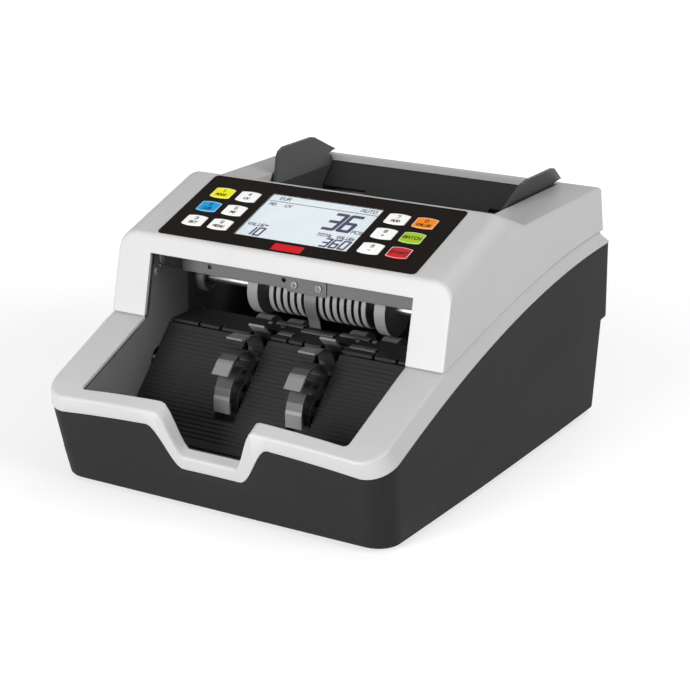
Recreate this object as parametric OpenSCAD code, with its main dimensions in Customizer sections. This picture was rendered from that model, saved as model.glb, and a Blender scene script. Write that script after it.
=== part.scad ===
// Banknote counter: hopper at the back, sloping console on top, stacker tray in front.
// Lengths are in millimetres, angles in degrees. +X is to the right, +Y to the back, +Z up.
// A distance named _d runs back from the front lip, a height named _z runs up from the lower case edge.

/* [Case] */
// Overall width across the pale band
case_w = 256; // [246:1:270]
// Overall depth from the lip to the rear face
case_d = 318; // [310:1:335]
// Width of the dark tub at its lower edge
foot_w = 247; // [240:1:250]
// Set-back of the lower front edge behind the lip
foot_set = 15; // [11:0.5:18]
// Set-forward of the lower rear edge from the rear face
rear_set = 7.5; // [5:0.5:11]
// Corner radius at the front, in plan
front_r = 17; // [14:1:22]
// Corner radius at the rear, in plan
rear_r = 9; // [6:0.5:12]
// How far the sides bow out between their ends
side_bow = 1.5; // [0:0.5:4]
// Wall thickness of the moulded covers
wall = 2.5; // [2:0.1:3]
// Height of the rubber feet
foot_h = 3; // [2:0.5:6]
// Diameter of the rubber feet
foot_dia = 18; // [12:1:24]
// Depth of the step above the hand grips at the rear
grip_step = 3; // [2:0.5:5]
// Height of that step at the rear face
grip_z = 67.5; // [60:0.5:72]

/* [Band and tray lip] */
// Height of the band's lower border at the front
border_front_z = 46.5; // [44:0.5:50]
// Height of the band's lower border at the rear
border_rear_z = 120; // [116:0.5:123]
// How far the band leans in between its lower border and its ridge
band_lean = 3.5; // [2:0.25:5]
// Height of the band at the rear
band_rear_h = 9; // [8:0.5:14]
// Height of the lip's ridge at the very front
lip_z = 60.5; // [58:0.5:63]
// Thickness of the lip from front to back
lip_t = 9; // [7:0.5:10]
// How far the lip curves in at its middle
lip_sag = 1.5; // [0:0.5:4]
// How far the lip rises at its middle
lip_rise = 2.5; // [0:0.5:4]
// Slope of the tray cheeks
cheek_slope = 23.1; // [21:0.1:25]
// Width of the finger notch at its top
notch_top_w = 71; // [64:1:80]
// Width of the finger notch at its bottom
notch_low_w = 37; // [30:1:42]
// Depth of the finger notch
notch_depth = 28.5; // [24:0.5:30]

/* [Front frame and console] */
// Distance of the frame's foot behind the lip
frame_set = 76; // [72:0.5:80]
// Height of the frame's top edge above its foot
frame_rise = 53.5; // [51:0.5:58]
// Lean of the front frame
frame_rake = 12.6; // [8:0.2:16]
// Distance from the case side to the mouth
mouth_side = 30.5; // [29:0.5:34]
// Height of the mouth above the frame's foot
mouth_rise = 41.5; // [38:0.5:44]
// Radius of the hood's shoulders
shoulder_r = 13; // [11:0.5:20]
// Draft of the hood's side walls
hood_draft = 0.6; // [0.2:0.2:4]
// Slope of the console
console_slope = 18.9; // [16:0.1:21]
// Length of the console along its slope
console_l = 78.5; // [76:0.5:88]
// Width of the keypad plate
panel_w = 191.5; // [186:0.5:196]
// Length of the keypad plate up the slope
panel_l = 73; // [68:0.2:74]
// Distance of the plate from the console's front edge
panel_start = 2.8; // [2.2:0.2:7]
// Thickness of the keypad plate
panel_t = 1.8; // [1.6:0.1:2.2]
// How far the plate stands above the hood
panel_proud = 0.4; // [0:0.1:0.6]
// Width of a key
key_w = 15; // [13:0.5:17]
// Length of a key up the slope, at its middle
key_l = 11.8; // [10:0.2:13.6]
// How far a key's long edges bulge
key_bulge = 1.1; // [0.6:0.1:1.6]
// Height of a key above the plate
key_proud = 0.4; // [0.3:0.1:1]
// Travel of a key
key_travel = 0.5; // [0.3:0.1:0.6]
// Width of the display window
lcd_w = 83.7; // [78:0.1:86]
// Length of the display window up the slope
lcd_l = 50.4; // [46:0.1:52]

/* [Hopper and guides] */
// Height of the blocks on both sides of the hopper
block_z = 160; // [152:0.5:164]
// Distance from the case side to the hopper's inner wall
hopper_side = 35.5; // [34:0.5:38]
// Gap between a note guide and the hopper's inner wall
guide_gap = 6.5; // [5.5:0.25:9.5]
// Height of the note guides' top edge
guide_top_z = 175; // [170:0.5:182]
// Thickness of a note guide
guide_t = 2.5; // [2:0.25:3]
// Outward flare of the guides' upper part
guide_flare = 22; // [12:1:27]
// Radius of the rod that the guides slide on
rail_r = 3; // [2.5:0.25:3.5]

/* [Rollers and drive] */
// Radius of the steel shafts
shaft_r = 3; // [2.75:0.25:4.5]
// Distance of the transport shafts behind the lip
roll_d = 148; // [146.5:0.5:152]
// Height of the upper transport shaft
upper_z = 103.5; // [102.5:0.5:108]
// Radius of the flat rollers on the upper shaft
flat_r = 18; // [17:0.25:19.5]
// Radius of the thin rings on the upper shaft
ring_r = 15.5; // [14.5:0.25:17]
// Height of the lower transport shaft
lower_z = 73; // [72:0.5:74]
// Radius of the rollers on the lower shaft
drive_r = 10.5; // [9.5:0.25:11.5]
// Distance of the stacker shaft behind the lip
stack_d = 92; // [90:0.5:94]
// Height of the stacker shaft
stack_z = 60; // [57:0.5:61]
// Radius of the stacker wheels
stack_r = 34; // [30:0.5:35]
// Width of a stacker wheel
stack_w = 12; // [8:0.5:13]
// Radius of the feed rollers
feed_r = 15; // [12:0.25:16]
// Number of teeth on the two shaft gears
gear_teeth = 28; // [20:2:36]
// Radius of the drive motor
motor_r = 18; // [14:0.5:20]
// Length of the drive motor
motor_l = 60; // [40:1:66]

/* [Clearances] */
// Radial clearance of a shaft in its bush
run_fit = 0.05; // [0.02:0.01:0.09]
// Gap between pieces that move past each other
slip = 0.4; // [0.3:0.05:0.6]
// Visible seam between the covers
seam = 0.3; // [0.2:0.05:0.5]

/* [Hidden] */
$fn = 64;

// Colours
pale = [0.82, 0.82, 0.81];
charcoal = [0.16, 0.16, 0.165];
panel_black = [0.07, 0.06, 0.055];
inner_grey = [0.22, 0.22, 0.225];
steel = [0.72, 0.73, 0.74];
rubber = [0.12, 0.12, 0.12];
light_grey = [0.62, 0.63, 0.64];
board_green = [0.08, 0.32, 0.18];
belt_black = [0.08, 0.08, 0.08];
bronze = [0.66, 0.5, 0.28];
eps = 0.01;

// Heights of the cheeks, the border and the ridge of the band at a distance behind the lip
border_power = 2.05;
band_fade = 4;
function cheek_z(d) = lip_z + tan(cheek_slope) * d;
function border_z(d) = border_rear_z
    - (border_rear_z - border_front_z) * pow(max(0, 1 - d / case_d), border_power);
frame_foot_z = cheek_z(frame_set);
frame_band_h = frame_foot_z - border_z(frame_set);
function band_h(d) = band_rear_h
    + (frame_band_h - band_rear_h) * pow((case_d - d) / (case_d - frame_set), band_fade);
function ridge_z(d) = d < frame_set ? cheek_z(d) : border_z(d) + band_h(d);
function smooth(t) = let(c = max(0, min(1, t))) c * c * (3 - 2 * c);

// Plan outlines, all with the same number of stations so that they can be joined
notch_n = 16;
notch_span = notch_top_w / 2 + 9;
flank_n = 3;
corner_n = 8;
side_n = 26;
rear_n = 6;
front_count = 2 * notch_n + 1 + 2 * flank_n;
function front_x(xe) = concat(
    [for (k = [0 : flank_n - 1]) -xe + (xe - notch_span) * k / flank_n],
    [for (k = [-notch_n : notch_n]) k * notch_span / notch_n],
    [for (k = [1 : flank_n]) notch_span + (xe - notch_span) * k / flank_n]
);
function arc(cx, cy, r, from) = [
    for (k = [1 : corner_n - 1])
        let(a = from + 90 * k / corner_n)
        [cx + r * cos(a), cy + r * sin(a)]
];
function side_x(e, bow, t) = e + 4 * bow * t * (1 - t);
function outline(hw, front, rear, rf, rr, bow, sag) =
    let(e = hw - bow, xe = e - rf, run = rear - rr - front - rf)
    concat(
        [for (x = front_x(xe)) [x, front + sag * (1 - pow(x / xe, 2))]],
        arc(xe, front + rf, rf, -90),
        [for (k = [0 : side_n]) let(t = k / side_n) [side_x(e, bow, t), front + rf + t * run]],
        arc(e - rr, rear - rr, rr, 0),
        [for (k = [0 : rear_n]) [(e - rr) * (1 - 2 * k / rear_n), rear]],
        arc(rr - e, rear - rr, rr, 90),
        [for (k = [0 : side_n]) let(t = 1 - k / side_n) [-side_x(e, bow, t), front + rf + t * run]],
        arc(-xe, front + rf, rf, 180)
    );
function ring_next(pts, i) = pts[(i + 1) % len(pts)];
function ring_last(pts, i) = pts[(i + len(pts) - 1) % len(pts)];
function normal(pts, i) =
    let(v = ring_next(pts, i) - ring_last(pts, i))
    [v[1], -v[0]] / norm(v);
function inset(pts, by) = [for (i = [0 : len(pts) - 1]) pts[i] - by * normal(pts, i)];
function at_z(pts, z) = [for (p = pts) [p[0], p[1], z]];
function mix(a, b, t) = a + (b - a) * t;

// The finger notch lowers the border and the ridge along the front, and both rise to the middle
function notch_fall(i, x, outer, inner) = i >= front_count ? 0
    : smooth((outer - abs(x)) / (outer - inner));
function crown(pts, i) = i >= front_count ? 0 : 1 - pow(pts[i][0] / pts[0][0], 2);
function ridge_fall(i, x) = notch_fall(i, x, notch_top_w / 2, notch_low_w / 2);
function border_fall(i, x) = notch_fall(i, x, notch_top_w / 2 + rim_top, notch_low_w / 2 + rim_low);
rim_top = 9;
rim_low = 2.5;
rim_gain = 1;
border_rise = 1.5 * lip_rise;
border_set = 3.5;
ridge_hw = case_w / 2 - band_lean;
ridge_rear_d = case_d - 2.2 * band_lean;
foot_pts = outline(foot_w / 2, foot_set, case_d - rear_set, front_r - 1, rear_r, side_bow, 0);
border_pts = outline(case_w / 2, border_set, case_d, front_r, rear_r, side_bow, lip_sag);
ridge_pts = outline(ridge_hw, 0, ridge_rear_d, front_r - 1, rear_r - 1, side_bow, lip_sag);
stations = len(foot_pts);
function border_at(i, lower) =
    let(
        p = border_pts[i],
        z0 = border_z(p[1]) + border_rise * crown(border_pts, i),
        z = z0 - (notch_depth - rim_gain) * border_fall(i, p[0]),
        q = mix(foot_pts[i], p, z / z0) - lower * normal(border_pts, i)
    )
    [q[0], q[1], z];
function ridge_at(i) =
    let(
        p = ridge_pts[i],
        z0 = ridge_z(p[1]) + lip_rise * crown(ridge_pts, i),
        z = z0 - notch_depth * ridge_fall(i, p[0]),
        q = mix(foot_pts[i], p, z / z0)
    )
    [i < front_count ? q[0] : p[0], i < front_count ? q[1] : p[1], z];
function moved(p, n, by, up) = [p[0] - by * n[0], p[1] - by * n[1], p[2] + up];

// Inner edge of the tray opening, and behind the frame of the band under the hood
mouth_hw = case_w / 2 - mouth_side;
mouth_r = 3;
under_hood = 6;
tray_end_d = frame_set + 8;
inner_pts = outline(mouth_hw, lip_t, ridge_rear_d - under_hood, mouth_r, rear_r - 1, 0, lip_sag);
function inner_at(i) =
    let(
        p = inner_pts[i],
        r = ridge_at(i),
        side = abs(p[0]) > mouth_hw - eps && p[1] > tray_end_d || p[1] > case_d / 2,
        x = side ? sign(p[0]) * min(abs(ridge_pts[i][0]) - under_hood, ridge_hw) : p[0]
    )
    i < front_count ? [
        p[0], r[1] + lip_t - 1.5 * ridge_fall(i, p[0]),
        r[2] + lip_t * tan(cheek_slope) * (1 - 0.35 * ridge_fall(i, p[0]))
    ] : [x, p[1], ridge_z(p[1])];

// Joins loops of stations into one solid; a ring closes on itself, otherwise both ends are capped
module loft(loops, ring = false) {
    n = len(loops[0]);
    count = len(loops);
    points = [for (l = loops) each l];
    last = ring ? count - 1 : count - 2;
    sides = [
        for (r = [0 : last]) for (i = [0 : n - 1])
            let(
                j = (i + 1) % n,
                s = (r + 1) % count,
                a = r * n + i,
                b = r * n + j,
                c = s * n + j,
                d = s * n + i
            )
            each [[a, d, c], [a, c, b]]
    ];
    caps = ring ? [] : [[for (i = [0 : n - 1]) i], [for (i = [n - 1 : -1 : 0]) (count - 1) * n + i]];
    polyhedron(points, concat(sides, caps), convexity = 8);
}

// Moves a piece from lip distances and case heights to the part's own frame
module in_case() {
    translate([0, -case_d / 2, foot_h]) children();
}

// An outline of distance and height, carried across from x0 to x1
module across(x0, x1) {
    translate([x0, 0, 0]) rotate([90, 0, 90]) linear_extrude(x1 - x0) children();
}

module rod(r, x0, x1, d, z) {
    translate([x0, d, z]) rotate([0, 90, 0]) cylinder(r = r, h = x1 - x0);
}

module box(x0, x1, d0, d1, z0, z1) {
    translate([x0, d0, z0]) cube([x1 - x0, d1 - d0, z1 - z0]);
}

module both_sides() {
    children();
    mirror([1, 0, 0]) children();
}

// Dark tub

grip_from = 175;
grip_low = 18.5;
foot_edge = 1.2;
grip_lead_z = 20;
function grip_line(d) = max(grip_lead_z,
    grip_z - grip_low * pow(max(0, case_d - d) / (case_d - grip_from - 20), 1.6));
function grip_out(d) = grip_step * smooth((d - grip_from) / (case_d - grip_from - 45));
function tub_at(i, z) = mix(foot_pts[i], border_pts[i], z / border_z(border_pts[i][1]));
function grip_below(i) =
    let(z = grip_line(foot_pts[i][1]), q = tub_at(i, z))
    [q[0], q[1], z];
function grip_above(i) =
    let(p = grip_below(i), n = normal(border_pts, i))
    moved(p, n, -grip_out(p[1]), 1);
band_reveal = 0.6;
tub_loops = [
    at_z(inset(foot_pts, foot_edge), 0),
    at_z(foot_pts, foot_edge),
    [for (i = [0 : stations - 1]) grip_below(i)],
    [for (i = [0 : stations - 1]) grip_above(i)],
    [for (i = [0 : stations - 1]) border_at(i, band_reveal)],
    [for (i = [0 : stations - 1]) border_at(i, wall + band_reveal)],
    at_z(inset(foot_pts, wall), wall)
];

// Frame on the rear wall: its height runs up the wall and its depth points out of it
rear_lean = atan(rear_set / border_rear_z);
module on_rear() {
    translate([0, case_d - rear_set, 0]) rotate([-rear_lean, 0, 0]) children();
}
plate_w = 88;
plate_x1 = foot_w / 2 - 13.5;
plate_x0 = plate_x1 - plate_w;
plate_z0 = 10;
plate_z1 = 48;

module base_shell() color(charcoal) in_case() difference() {
    loft(tub_loops);
    on_rear() box(plate_x0, plate_x1, -4 * wall, 2 * wall, plate_z0, plate_z1);
}

plate_rim = 4;
port_gap = 3;
inlet_w = 37;
switch_w = 17;
socket_w = 12;
inlet_x1 = plate_x1 - 13;
inlet_x0 = inlet_x1 - inlet_w;
switch_x1 = inlet_x0 - port_gap;
switch_x0 = switch_x1 - switch_w;
socket_x1 = switch_x0 - port_gap;
socket_x0 = socket_x1 - socket_w;
port_z0 = 15;
port_z1 = 43;
socket_z1 = 28;

module rear_panel() color(charcoal) in_case() on_rear() difference() {
    union() {
        box(plate_x0 + seam, plate_x1 - seam, -wall - 2 * seam - eps, -seam,
            plate_z0 + seam, plate_z1 - seam);
        box(plate_x0 - plate_rim, plate_x1 + plate_rim, -2 * wall, -wall - 2 * seam,
            plate_z0 - plate_rim, plate_z1 + plate_rim);
    }
    box(inlet_x0, inlet_x1, -9, 1, port_z0, port_z1);
    box(switch_x0, switch_x1, -9, 1, port_z0, port_z1);
    box(socket_x0, socket_x1, -9, 1, port_z0, socket_z1);
}

foot_x = foot_w / 2 - 27.5;
foot_front_d = 48;
foot_rear_d = case_d - 38;
module feet() color(rubber) in_case()
    for (x = [-foot_x, foot_x], d = [foot_front_d, foot_rear_d])
        translate([x, d, -foot_h]) difference() {
            rotate_extrude() polygon([
                [0, 0], [foot_dia / 2 - 1, 0], [foot_dia / 2, 1], [foot_dia / 2, foot_h], [0, foot_h]
            ]);
            translate([0, 0, -eps]) cylinder(r = 2.5, h = 1);
        }

plate_t = 1.5;
deck_z = wall + plate_t;
deck_hw = mouth_hw + 10;
deck_front_d = 62;
deck_rear_d = case_d - rear_set - 8;
module chassis_plate() color(steel) in_case() difference() {
    box(-deck_hw, deck_hw, deck_front_d, deck_rear_d, wall, deck_z);
    for (x = [-deck_hw + 14, deck_hw - 14], d = [deck_front_d + 12, deck_rear_d - 12])
        translate([x, d, 0]) cylinder(r = 2, h = 3 * wall);
}

// Pale covers

ridge_r = 2.2;
function ridge_low(i) = moved(ridge_at(i), normal(ridge_pts, i), 0, -ridge_r);
function ridge_mid(i) = moved(ridge_at(i), normal(ridge_pts, i), 0.3 * ridge_r, -0.3 * ridge_r);
function ridge_top(i) = moved(ridge_at(i), normal(ridge_pts, i), ridge_r, 0);
function raised(p, by) = [p[0], p[1], p[2] + by];
band_loops = [
    [for (i = [0 : stations - 1]) raised(border_at(i, 0), seam)],
    [for (i = [0 : stations - 1]) ridge_low(i)],
    [for (i = [0 : stations - 1]) ridge_mid(i)],
    [for (i = [0 : stations - 1]) ridge_top(i)],
    [for (i = [0 : stations - 1]) inner_at(i)],
    [for (i = [0 : stations - 1]) raised(inner_at(i), -wall)],
    [for (i = [0 : stations - 1]) moved(ridge_at(i), normal(ridge_pts, i), 1.2 * wall, -1.2 * wall)],
    [for (i = [0 : stations - 1]) raised(border_at(i, wall), seam)]
];
module surround() color(pale) in_case() loft(band_loops, ring = true);

// Console frame: y runs up the slope from the console's front edge, z stands off the slope
console_d = frame_set + frame_rise * tan(frame_rake);
console_z = frame_foot_z + frame_rise;
module on_console() {
    translate([0, console_d, console_z]) rotate([console_slope, 0, 0]) children();
}
// Frame on the raked front: z runs up the face, y points into the hood
module on_front() {
    translate([0, frame_set, frame_foot_z]) rotate([-frame_rake, 0, 0]) children();
}
crest_d = console_d + console_l * cos(console_slope);
crest_z = console_z + console_l * sin(console_slope);
valley_run = 24;
valley_d = crest_d + valley_run;
block_rear_d = case_d - 13;
block_r = 2.5;
hood_low_z = frame_foot_z - 16;
hood_gap = 0.1;
function band_x(d) =
    let(t = max(0, min(1, (d - front_r) / (case_d - front_r - rear_r))))
    side_x(ridge_hw - side_bow, side_bow, t);
function hood_x(d, z) = band_x(d) - hood_gap - tan(hood_draft) * (z - frame_foot_z);

// Height of the hood along its middle: up the console, over the crest, down to the blocks
crest_r = 2;
function hood_top(d) = d <= crest_d ? console_z + (d - console_d) * tan(console_slope)
    : max(block_z, crest_z - (d - crest_d) * (crest_z - block_z) / (valley_d - crest_d));

// One arch of the hood: distance at its top, drop of its top, shoulder radius, inset and lean
arch_n = 10;
function arch(d_top, drop, r, by, lean, low) =
    let(
        top = hood_top(d_top) - drop - by,
        zc = top - r,
        half = concat(
            [[hood_x(d_top + lean * (top - low), low) - by, low]],
            [for (k = [0 : arch_n])
                let(a = 90 * k / arch_n)
                [hood_x(d_top, zc) - by - r + r * cos(a), zc + r * sin(a)]]
        ),
        m = len(half) - 1
    )
    concat(
        [for (k = [0 : m]) [-half[k][0], d_top - lean * (top - half[k][1]), half[k][1]]],
        [for (k = [m : -1 : 0]) [half[k][0], d_top - lean * (top - half[k][1]), half[k][1]]]
    );
edge_r = 2.4;
rake = tan(frame_rake);
block_lean = -0.17;
console_steps = 5;
function hood_arches(by, low) = concat(
    by > 0 ? [arch(console_d + by, 0, shoulder_r - by, by, rake, low)] : [
        arch(console_d, 0, shoulder_r - edge_r, edge_r, rake, low),
        arch(console_d + 0.3 * edge_r, 0, shoulder_r - 0.3 * edge_r, 0.3 * edge_r, rake, low),
        arch(console_d + edge_r, 0, shoulder_r, 0, rake, low)
    ],
    [for (k = [1 : console_steps])
        let(t = k / (console_steps + 1))
        arch(mix(console_d + edge_r, crest_d - crest_r, t), 0, shoulder_r - by, by, rake * (1 - t), low)],
    [
        arch(crest_d - crest_r, 0, shoulder_r - by, by, 0, low),
        arch(crest_d, 0.25 * crest_r, shoulder_r - by, by, 0, low),
        arch(crest_d + crest_r, 0.1 * crest_r, shoulder_r - by, by, 0, low),
        arch(mix(crest_d, valley_d, 0.6), 0, mix(shoulder_r, block_r, 0.5) - by / 2, by, 0, low),
        arch(valley_d, 0, block_r + 1 - by / 2, by, 0, low),
        arch(valley_d + 8, 0, block_r - by / 2, by, 0, low)
    ],
    by > 0 ? [arch(block_rear_d - by, 0, block_r - by / 2, by, block_lean, low)] : [
        arch(block_rear_d - block_r, 0, block_r, 0, block_lean, low),
        arch(block_rear_d - 0.6 * block_r, 0, block_r, 0.1 * block_r, block_lean, low),
        arch(block_rear_d - 0.2 * block_r, 0, block_r, 0.4 * block_r, block_lean, low),
        arch(block_rear_d, 0, block_r, block_r, block_lean, low)
    ]
);

hopper_hw = case_w / 2 - hopper_side;
hopper_front_d = crest_d + 2;
hopper_rear_d = block_rear_d - 9;
hopper_low_z = 106;
skirt_n = 26;
function skirt(lift) = concat(
    [for (k = [0 : skirt_n])
        let(d = frame_set - 12 + (case_d - frame_set + 24) * k / skirt_n)
        [d, (d < frame_set ? frame_foot_z : ridge_z(d)) + lift]],
    [[case_d + 12, 0], [frame_set - 12, 0]]
);

panel_seat = panel_t - panel_proud;
panel_ledge = 4;
// Side walls and rear wall of the hopper, inside the hood
module hopper_walls() {
    both_sides() difference() {
        across(hopper_hw, hopper_hw + wall) polygon([
            [hopper_front_d, hopper_low_z], [hopper_rear_d + wall, hopper_low_z],
            [hopper_rear_d + wall, block_z - 1], [valley_d, block_z - 1],
            [hopper_front_d + 2, crest_z - 5], [hopper_front_d, crest_z - 5]
        ]);
        rod(rail_r + 1, hopper_hw - 1, hopper_hw + 2 * wall, rail_d, rail_z);
        rod(shaft_r + 2 * slip, hopper_hw - 1, hopper_hw + 2 * wall, feed_d, feed_z);
    }
    box(-hopper_hw - 1, hopper_hw + 1, hopper_rear_d, hopper_rear_d + wall, border_rear_z + 4, block_z - 1);
}

module hood() color(pale) in_case() difference() {
    union() {
        difference() {
            loft(hood_arches(0, hood_low_z));
            loft(hood_arches(wall, hood_low_z - 5));
            across(-case_w, case_w) polygon(skirt(seam));
        }
        hopper_walls();
    }
    on_front() box(-mouth_hw, mouth_hw, -wall, 4 * wall, -frame_rise, mouth_rise / cos(frame_rake));
    on_console() {
        translate([0, panel_start, -panel_seat]) plate_shape(0, 3 * wall);
        box(-panel_w / 2 + panel_ledge, panel_w / 2 - panel_ledge,
            panel_start + panel_ledge, panel_start + panel_l - panel_ledge, -4 * wall, 0);
    }
    box(-hopper_hw, hopper_hw, hopper_front_d, hopper_rear_d, hopper_low_z - 10, crest_z + 10);
}

// Keypad

panel_r = 3;
// Rounded plate, standing on z = 0, with its low edge on y = 0
module plate_shape(by, h) {
    hw = panel_w / 2 - by;
    linear_extrude(h) {
        translate([-hw, by + panel_r]) square([2 * hw, panel_l - 2 * by - 2 * panel_r]);
        translate([-hw + panel_r, by]) square([2 * hw - 2 * panel_r, panel_l - 2 * by]);
        for (x = [-hw + panel_r, hw - panel_r], y = [by + panel_r, panel_l - by - panel_r])
            translate([x, y]) circle(panel_r);
    }
}

// Keys by column and row: columns left to right, rows from the top
key_step_x = 20.1;
key_step_y = 17.3;
key_left_x = -67.5;
key_right_x = 65.05;
key_mid_y = panel_l / 2 - 0.8;
key_clear = 0.25;
key_flange = 0.7;
key_flange_t = 1;
lcd_x = -0.85;
lcd_y = panel_l / 2 + 0.1;
key_columns = [
    key_left_x - key_step_x / 2, key_left_x + key_step_x / 2,
    key_right_x - key_step_x / 2, key_right_x + key_step_x / 2
];
function key_at(column, row) = [key_columns[column], key_mid_y + (1 - row) * key_step_y];

// Barrel outline: a rectangle whose long edges are arcs
module barrel(w, l, bulge) {
    r = (w * w / 4 + bulge * bulge) / (2 * bulge);
    intersection() {
        translate([-w / 2, -l / 2]) square([w, l]);
        translate([0, l / 2 - r]) circle(r);
        translate([0, r - l / 2]) circle(r);
    }
}

module control_panel() color(panel_black) in_case() on_console()
    translate([0, panel_start, -panel_seat]) difference() {
        plate_shape(seam / 2, panel_t);
        for (column = [0 : 3], row = [0 : 2])
            translate(key_at(column, row)) translate([0, 0, -1])
                linear_extrude(panel_t + 2)
                    barrel(key_w + 2 * key_clear, key_l + 2 * key_clear, key_bulge);
        translate([lcd_x - lcd_w / 2, lcd_y - lcd_l / 2, -1]) cube([lcd_w, lcd_l, panel_t + 2]);
    }

lcd_seat = 0.15;
lcd_t = 0.6;
lcd_under = 0.2;
module lcd_window() color([0.75, 0.86, 0.92, 0.5]) in_case() on_console()
    translate([lcd_x, panel_start + lcd_y, panel_proud - lcd_under - lcd_t])
        box(-lcd_w / 2 + lcd_seat, lcd_w / 2 - lcd_seat,
            -lcd_l / 2 + lcd_seat, lcd_l / 2 - lcd_seat, 0, lcd_t);

board_drop = 4.6;
board_t = 1.6;
lcd_rim = 2.4;
lcd_in = 1;
module lcd_module() color(light_grey) in_case() on_console()
    translate([lcd_x, panel_start + lcd_y, -panel_seat - board_drop]) {
        box(-lcd_w / 2 - lcd_rim, lcd_w / 2 + lcd_rim,
            -lcd_l / 2 - lcd_rim, lcd_l / 2 + lcd_rim, 0, board_drop);
        box(-lcd_w / 2 + lcd_in, lcd_w / 2 - lcd_in, -lcd_l / 2 + lcd_in, lcd_l / 2 - lcd_in,
            board_drop - eps, board_drop + panel_t - 2 * lcd_under - lcd_t);
    }

board_side = 5.5;
spacer_r = 1.4;
module panel_board() color(board_green) in_case() on_console()
    translate([0, panel_start, -panel_seat - board_drop]) {
        hw = panel_w / 2 - board_side;
        box(-hw, hw, board_side, panel_l - board_side, -board_t, 0);
        for (x = [-hw + 2, hw - 2], y = [board_side + 2, panel_l - board_side - 2])
            translate([x, y, -eps]) cylinder(r = spacer_r, h = board_drop + eps);
        for (column = [0 : 3], row = [0 : 2])
            translate(key_at(column, row)) translate([-3, -3, -eps])
                cube([6, 6, board_drop - key_flange_t - key_pin - key_travel - 0.2]);
    }

key_pin = 1.6;
module key_cap(tint, column, row) color(tint) in_case() on_console()
    translate([0, panel_start, -panel_seat]) translate(key_at(column, row)) {
        linear_extrude(panel_t + key_proud) barrel(key_w, key_l, key_bulge);
        translate([0, 0, -key_flange_t]) linear_extrude(key_flange_t)
            barrel(key_w + 2 * key_flange, key_l + 2 * key_flange, key_bulge);
        translate([0, 0, -key_flange_t - key_pin]) cylinder(r = 2, h = key_pin + eps);
    }
white_key = [0.93, 0.93, 0.92];

// Tray, ramp and guide plate

tray_t = 2.2;
tray_floor_z = 22;
tray_front_d = foot_set + 1.3;
tray_wall_d = 126;
tray_top_z = frame_foot_z + mouth_rise + 2;
ramp_top_d = stack_d + 14;
comb_z = upper_z - flat_r - 1;
ramp_top_z = comb_z;
ramp_low_d = 47;
under_cheek = wall + seam;
shaft_hole = 9;

// Front wall of the tray: a strip that follows the lip and drops with the finger notch
tray_front_t = 1.5;
tray_wall_low = 17.6;
function front_strip(i, x) =
    let(p = inner_at(i), top = p[2] - wall - seam, low = tray_floor_z - tray_t)
    [
        [x, tray_front_d, low], [x, tray_front_d + tray_front_t, low],
        [x, p[1] - 0.3 + tray_front_t, top], [x, p[1] - 0.3, top - 1.2]
    ];
tray_wall_x = mouth_hw + seam;
module tray_front() {
    last = front_count - 1;
    loft(concat(
        [front_strip(0, -tray_wall_x - 1)],
        [for (i = [0 : last]) front_strip(i, inner_pts[i][0])],
        [front_strip(last, tray_wall_x + 1)]
    ));
}
module stacker_tray() color(inner_grey) in_case() {
    both_sides() difference() {
        across(tray_wall_x, tray_wall_x + tray_t) polygon([
            [tray_front_d, tray_wall_low], [tray_wall_d, tray_wall_low],
            [tray_wall_d, tray_top_z], [frame_set + 16, tray_top_z], [frame_set + 6, frame_foot_z],
            [frame_set, frame_foot_z - under_cheek - 1],
            [lip_t + 2, cheek_z(lip_t + 2) - under_cheek - 1.4]
        ]);
        rod(shaft_hole, mouth_hw - 1, mouth_hw + 9, stack_d, stack_z);
    }
    box(-tray_wall_x - eps, tray_wall_x + eps, tray_front_d, ramp_low_d + 16,
        tray_floor_z - tray_t, tray_floor_z);
    tray_front();
    for (x = [-60, 60])
        box(x - tray_t / 2, x + tray_t / 2, tray_front_d + 8, ramp_low_d,
            wall, tray_floor_z - tray_t + eps);
}

ramp_t = 2;
rib_step = 3;
rib_h = 0.7;
wheel_x = 27;
slot_gap = 2;
ramp_l = norm([ramp_top_d - ramp_low_d, ramp_top_z - tray_floor_z]);
ramp_angle = atan2(ramp_top_z - tray_floor_z, ramp_top_d - ramp_low_d);
// Frame on the ramp: y runs up the ramp from the tray floor, z stands off it
module on_ramp() {
    translate([0, ramp_low_d, tray_floor_z]) rotate([ramp_angle, 0, 0]) children();
}
module ramp() color(inner_grey) in_case() difference() {
    on_ramp() {
        box(-mouth_hw + seam, mouth_hw - seam, 2, ramp_l - 2.6, -ramp_t, 0);
        for (y = [8 : rib_step : ramp_l - 6])
            box(-mouth_hw + 4, mouth_hw - 4, y, y + rib_step / 2, -eps, rib_h);
    }
    for (x = [-wheel_x, wheel_x])
        rod(stack_r + slot_gap, x - stack_w / 2 - slot_gap, x + stack_w / 2 + slot_gap, stack_d, stack_z);
}

comb_rear_d = roll_d - drive_r - 1.5;
comb_t = 2;
notch_x = 75;
notch_step = 17;
notch_mid = 6;
module comb_plate() color(inner_grey) in_case() difference() {
    union() {
        box(-mouth_hw + seam, mouth_hw - seam, ramp_top_d + 0.5, comb_rear_d, comb_z - comb_t, comb_z);
        box(-mouth_hw + seam, mouth_hw - seam, comb_rear_d - 3, comb_rear_d,
            comb_z - 7, comb_z - comb_t + eps);
    }
    for (x = [-wheel_x, wheel_x])
        rod(stack_r + slot_gap, x - stack_w / 2 - slot_gap, x + stack_w / 2 + slot_gap, stack_d, stack_z);
    for (x = [-notch_x, -notch_x + notch_step, -notch_mid, notch_mid, notch_x - notch_step, notch_x])
        box(x - 1, x + 1, ramp_top_d - 1, ramp_top_d + 5, comb_z - 10, comb_z + 5);
}

// Frames, beam and bearings

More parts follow.
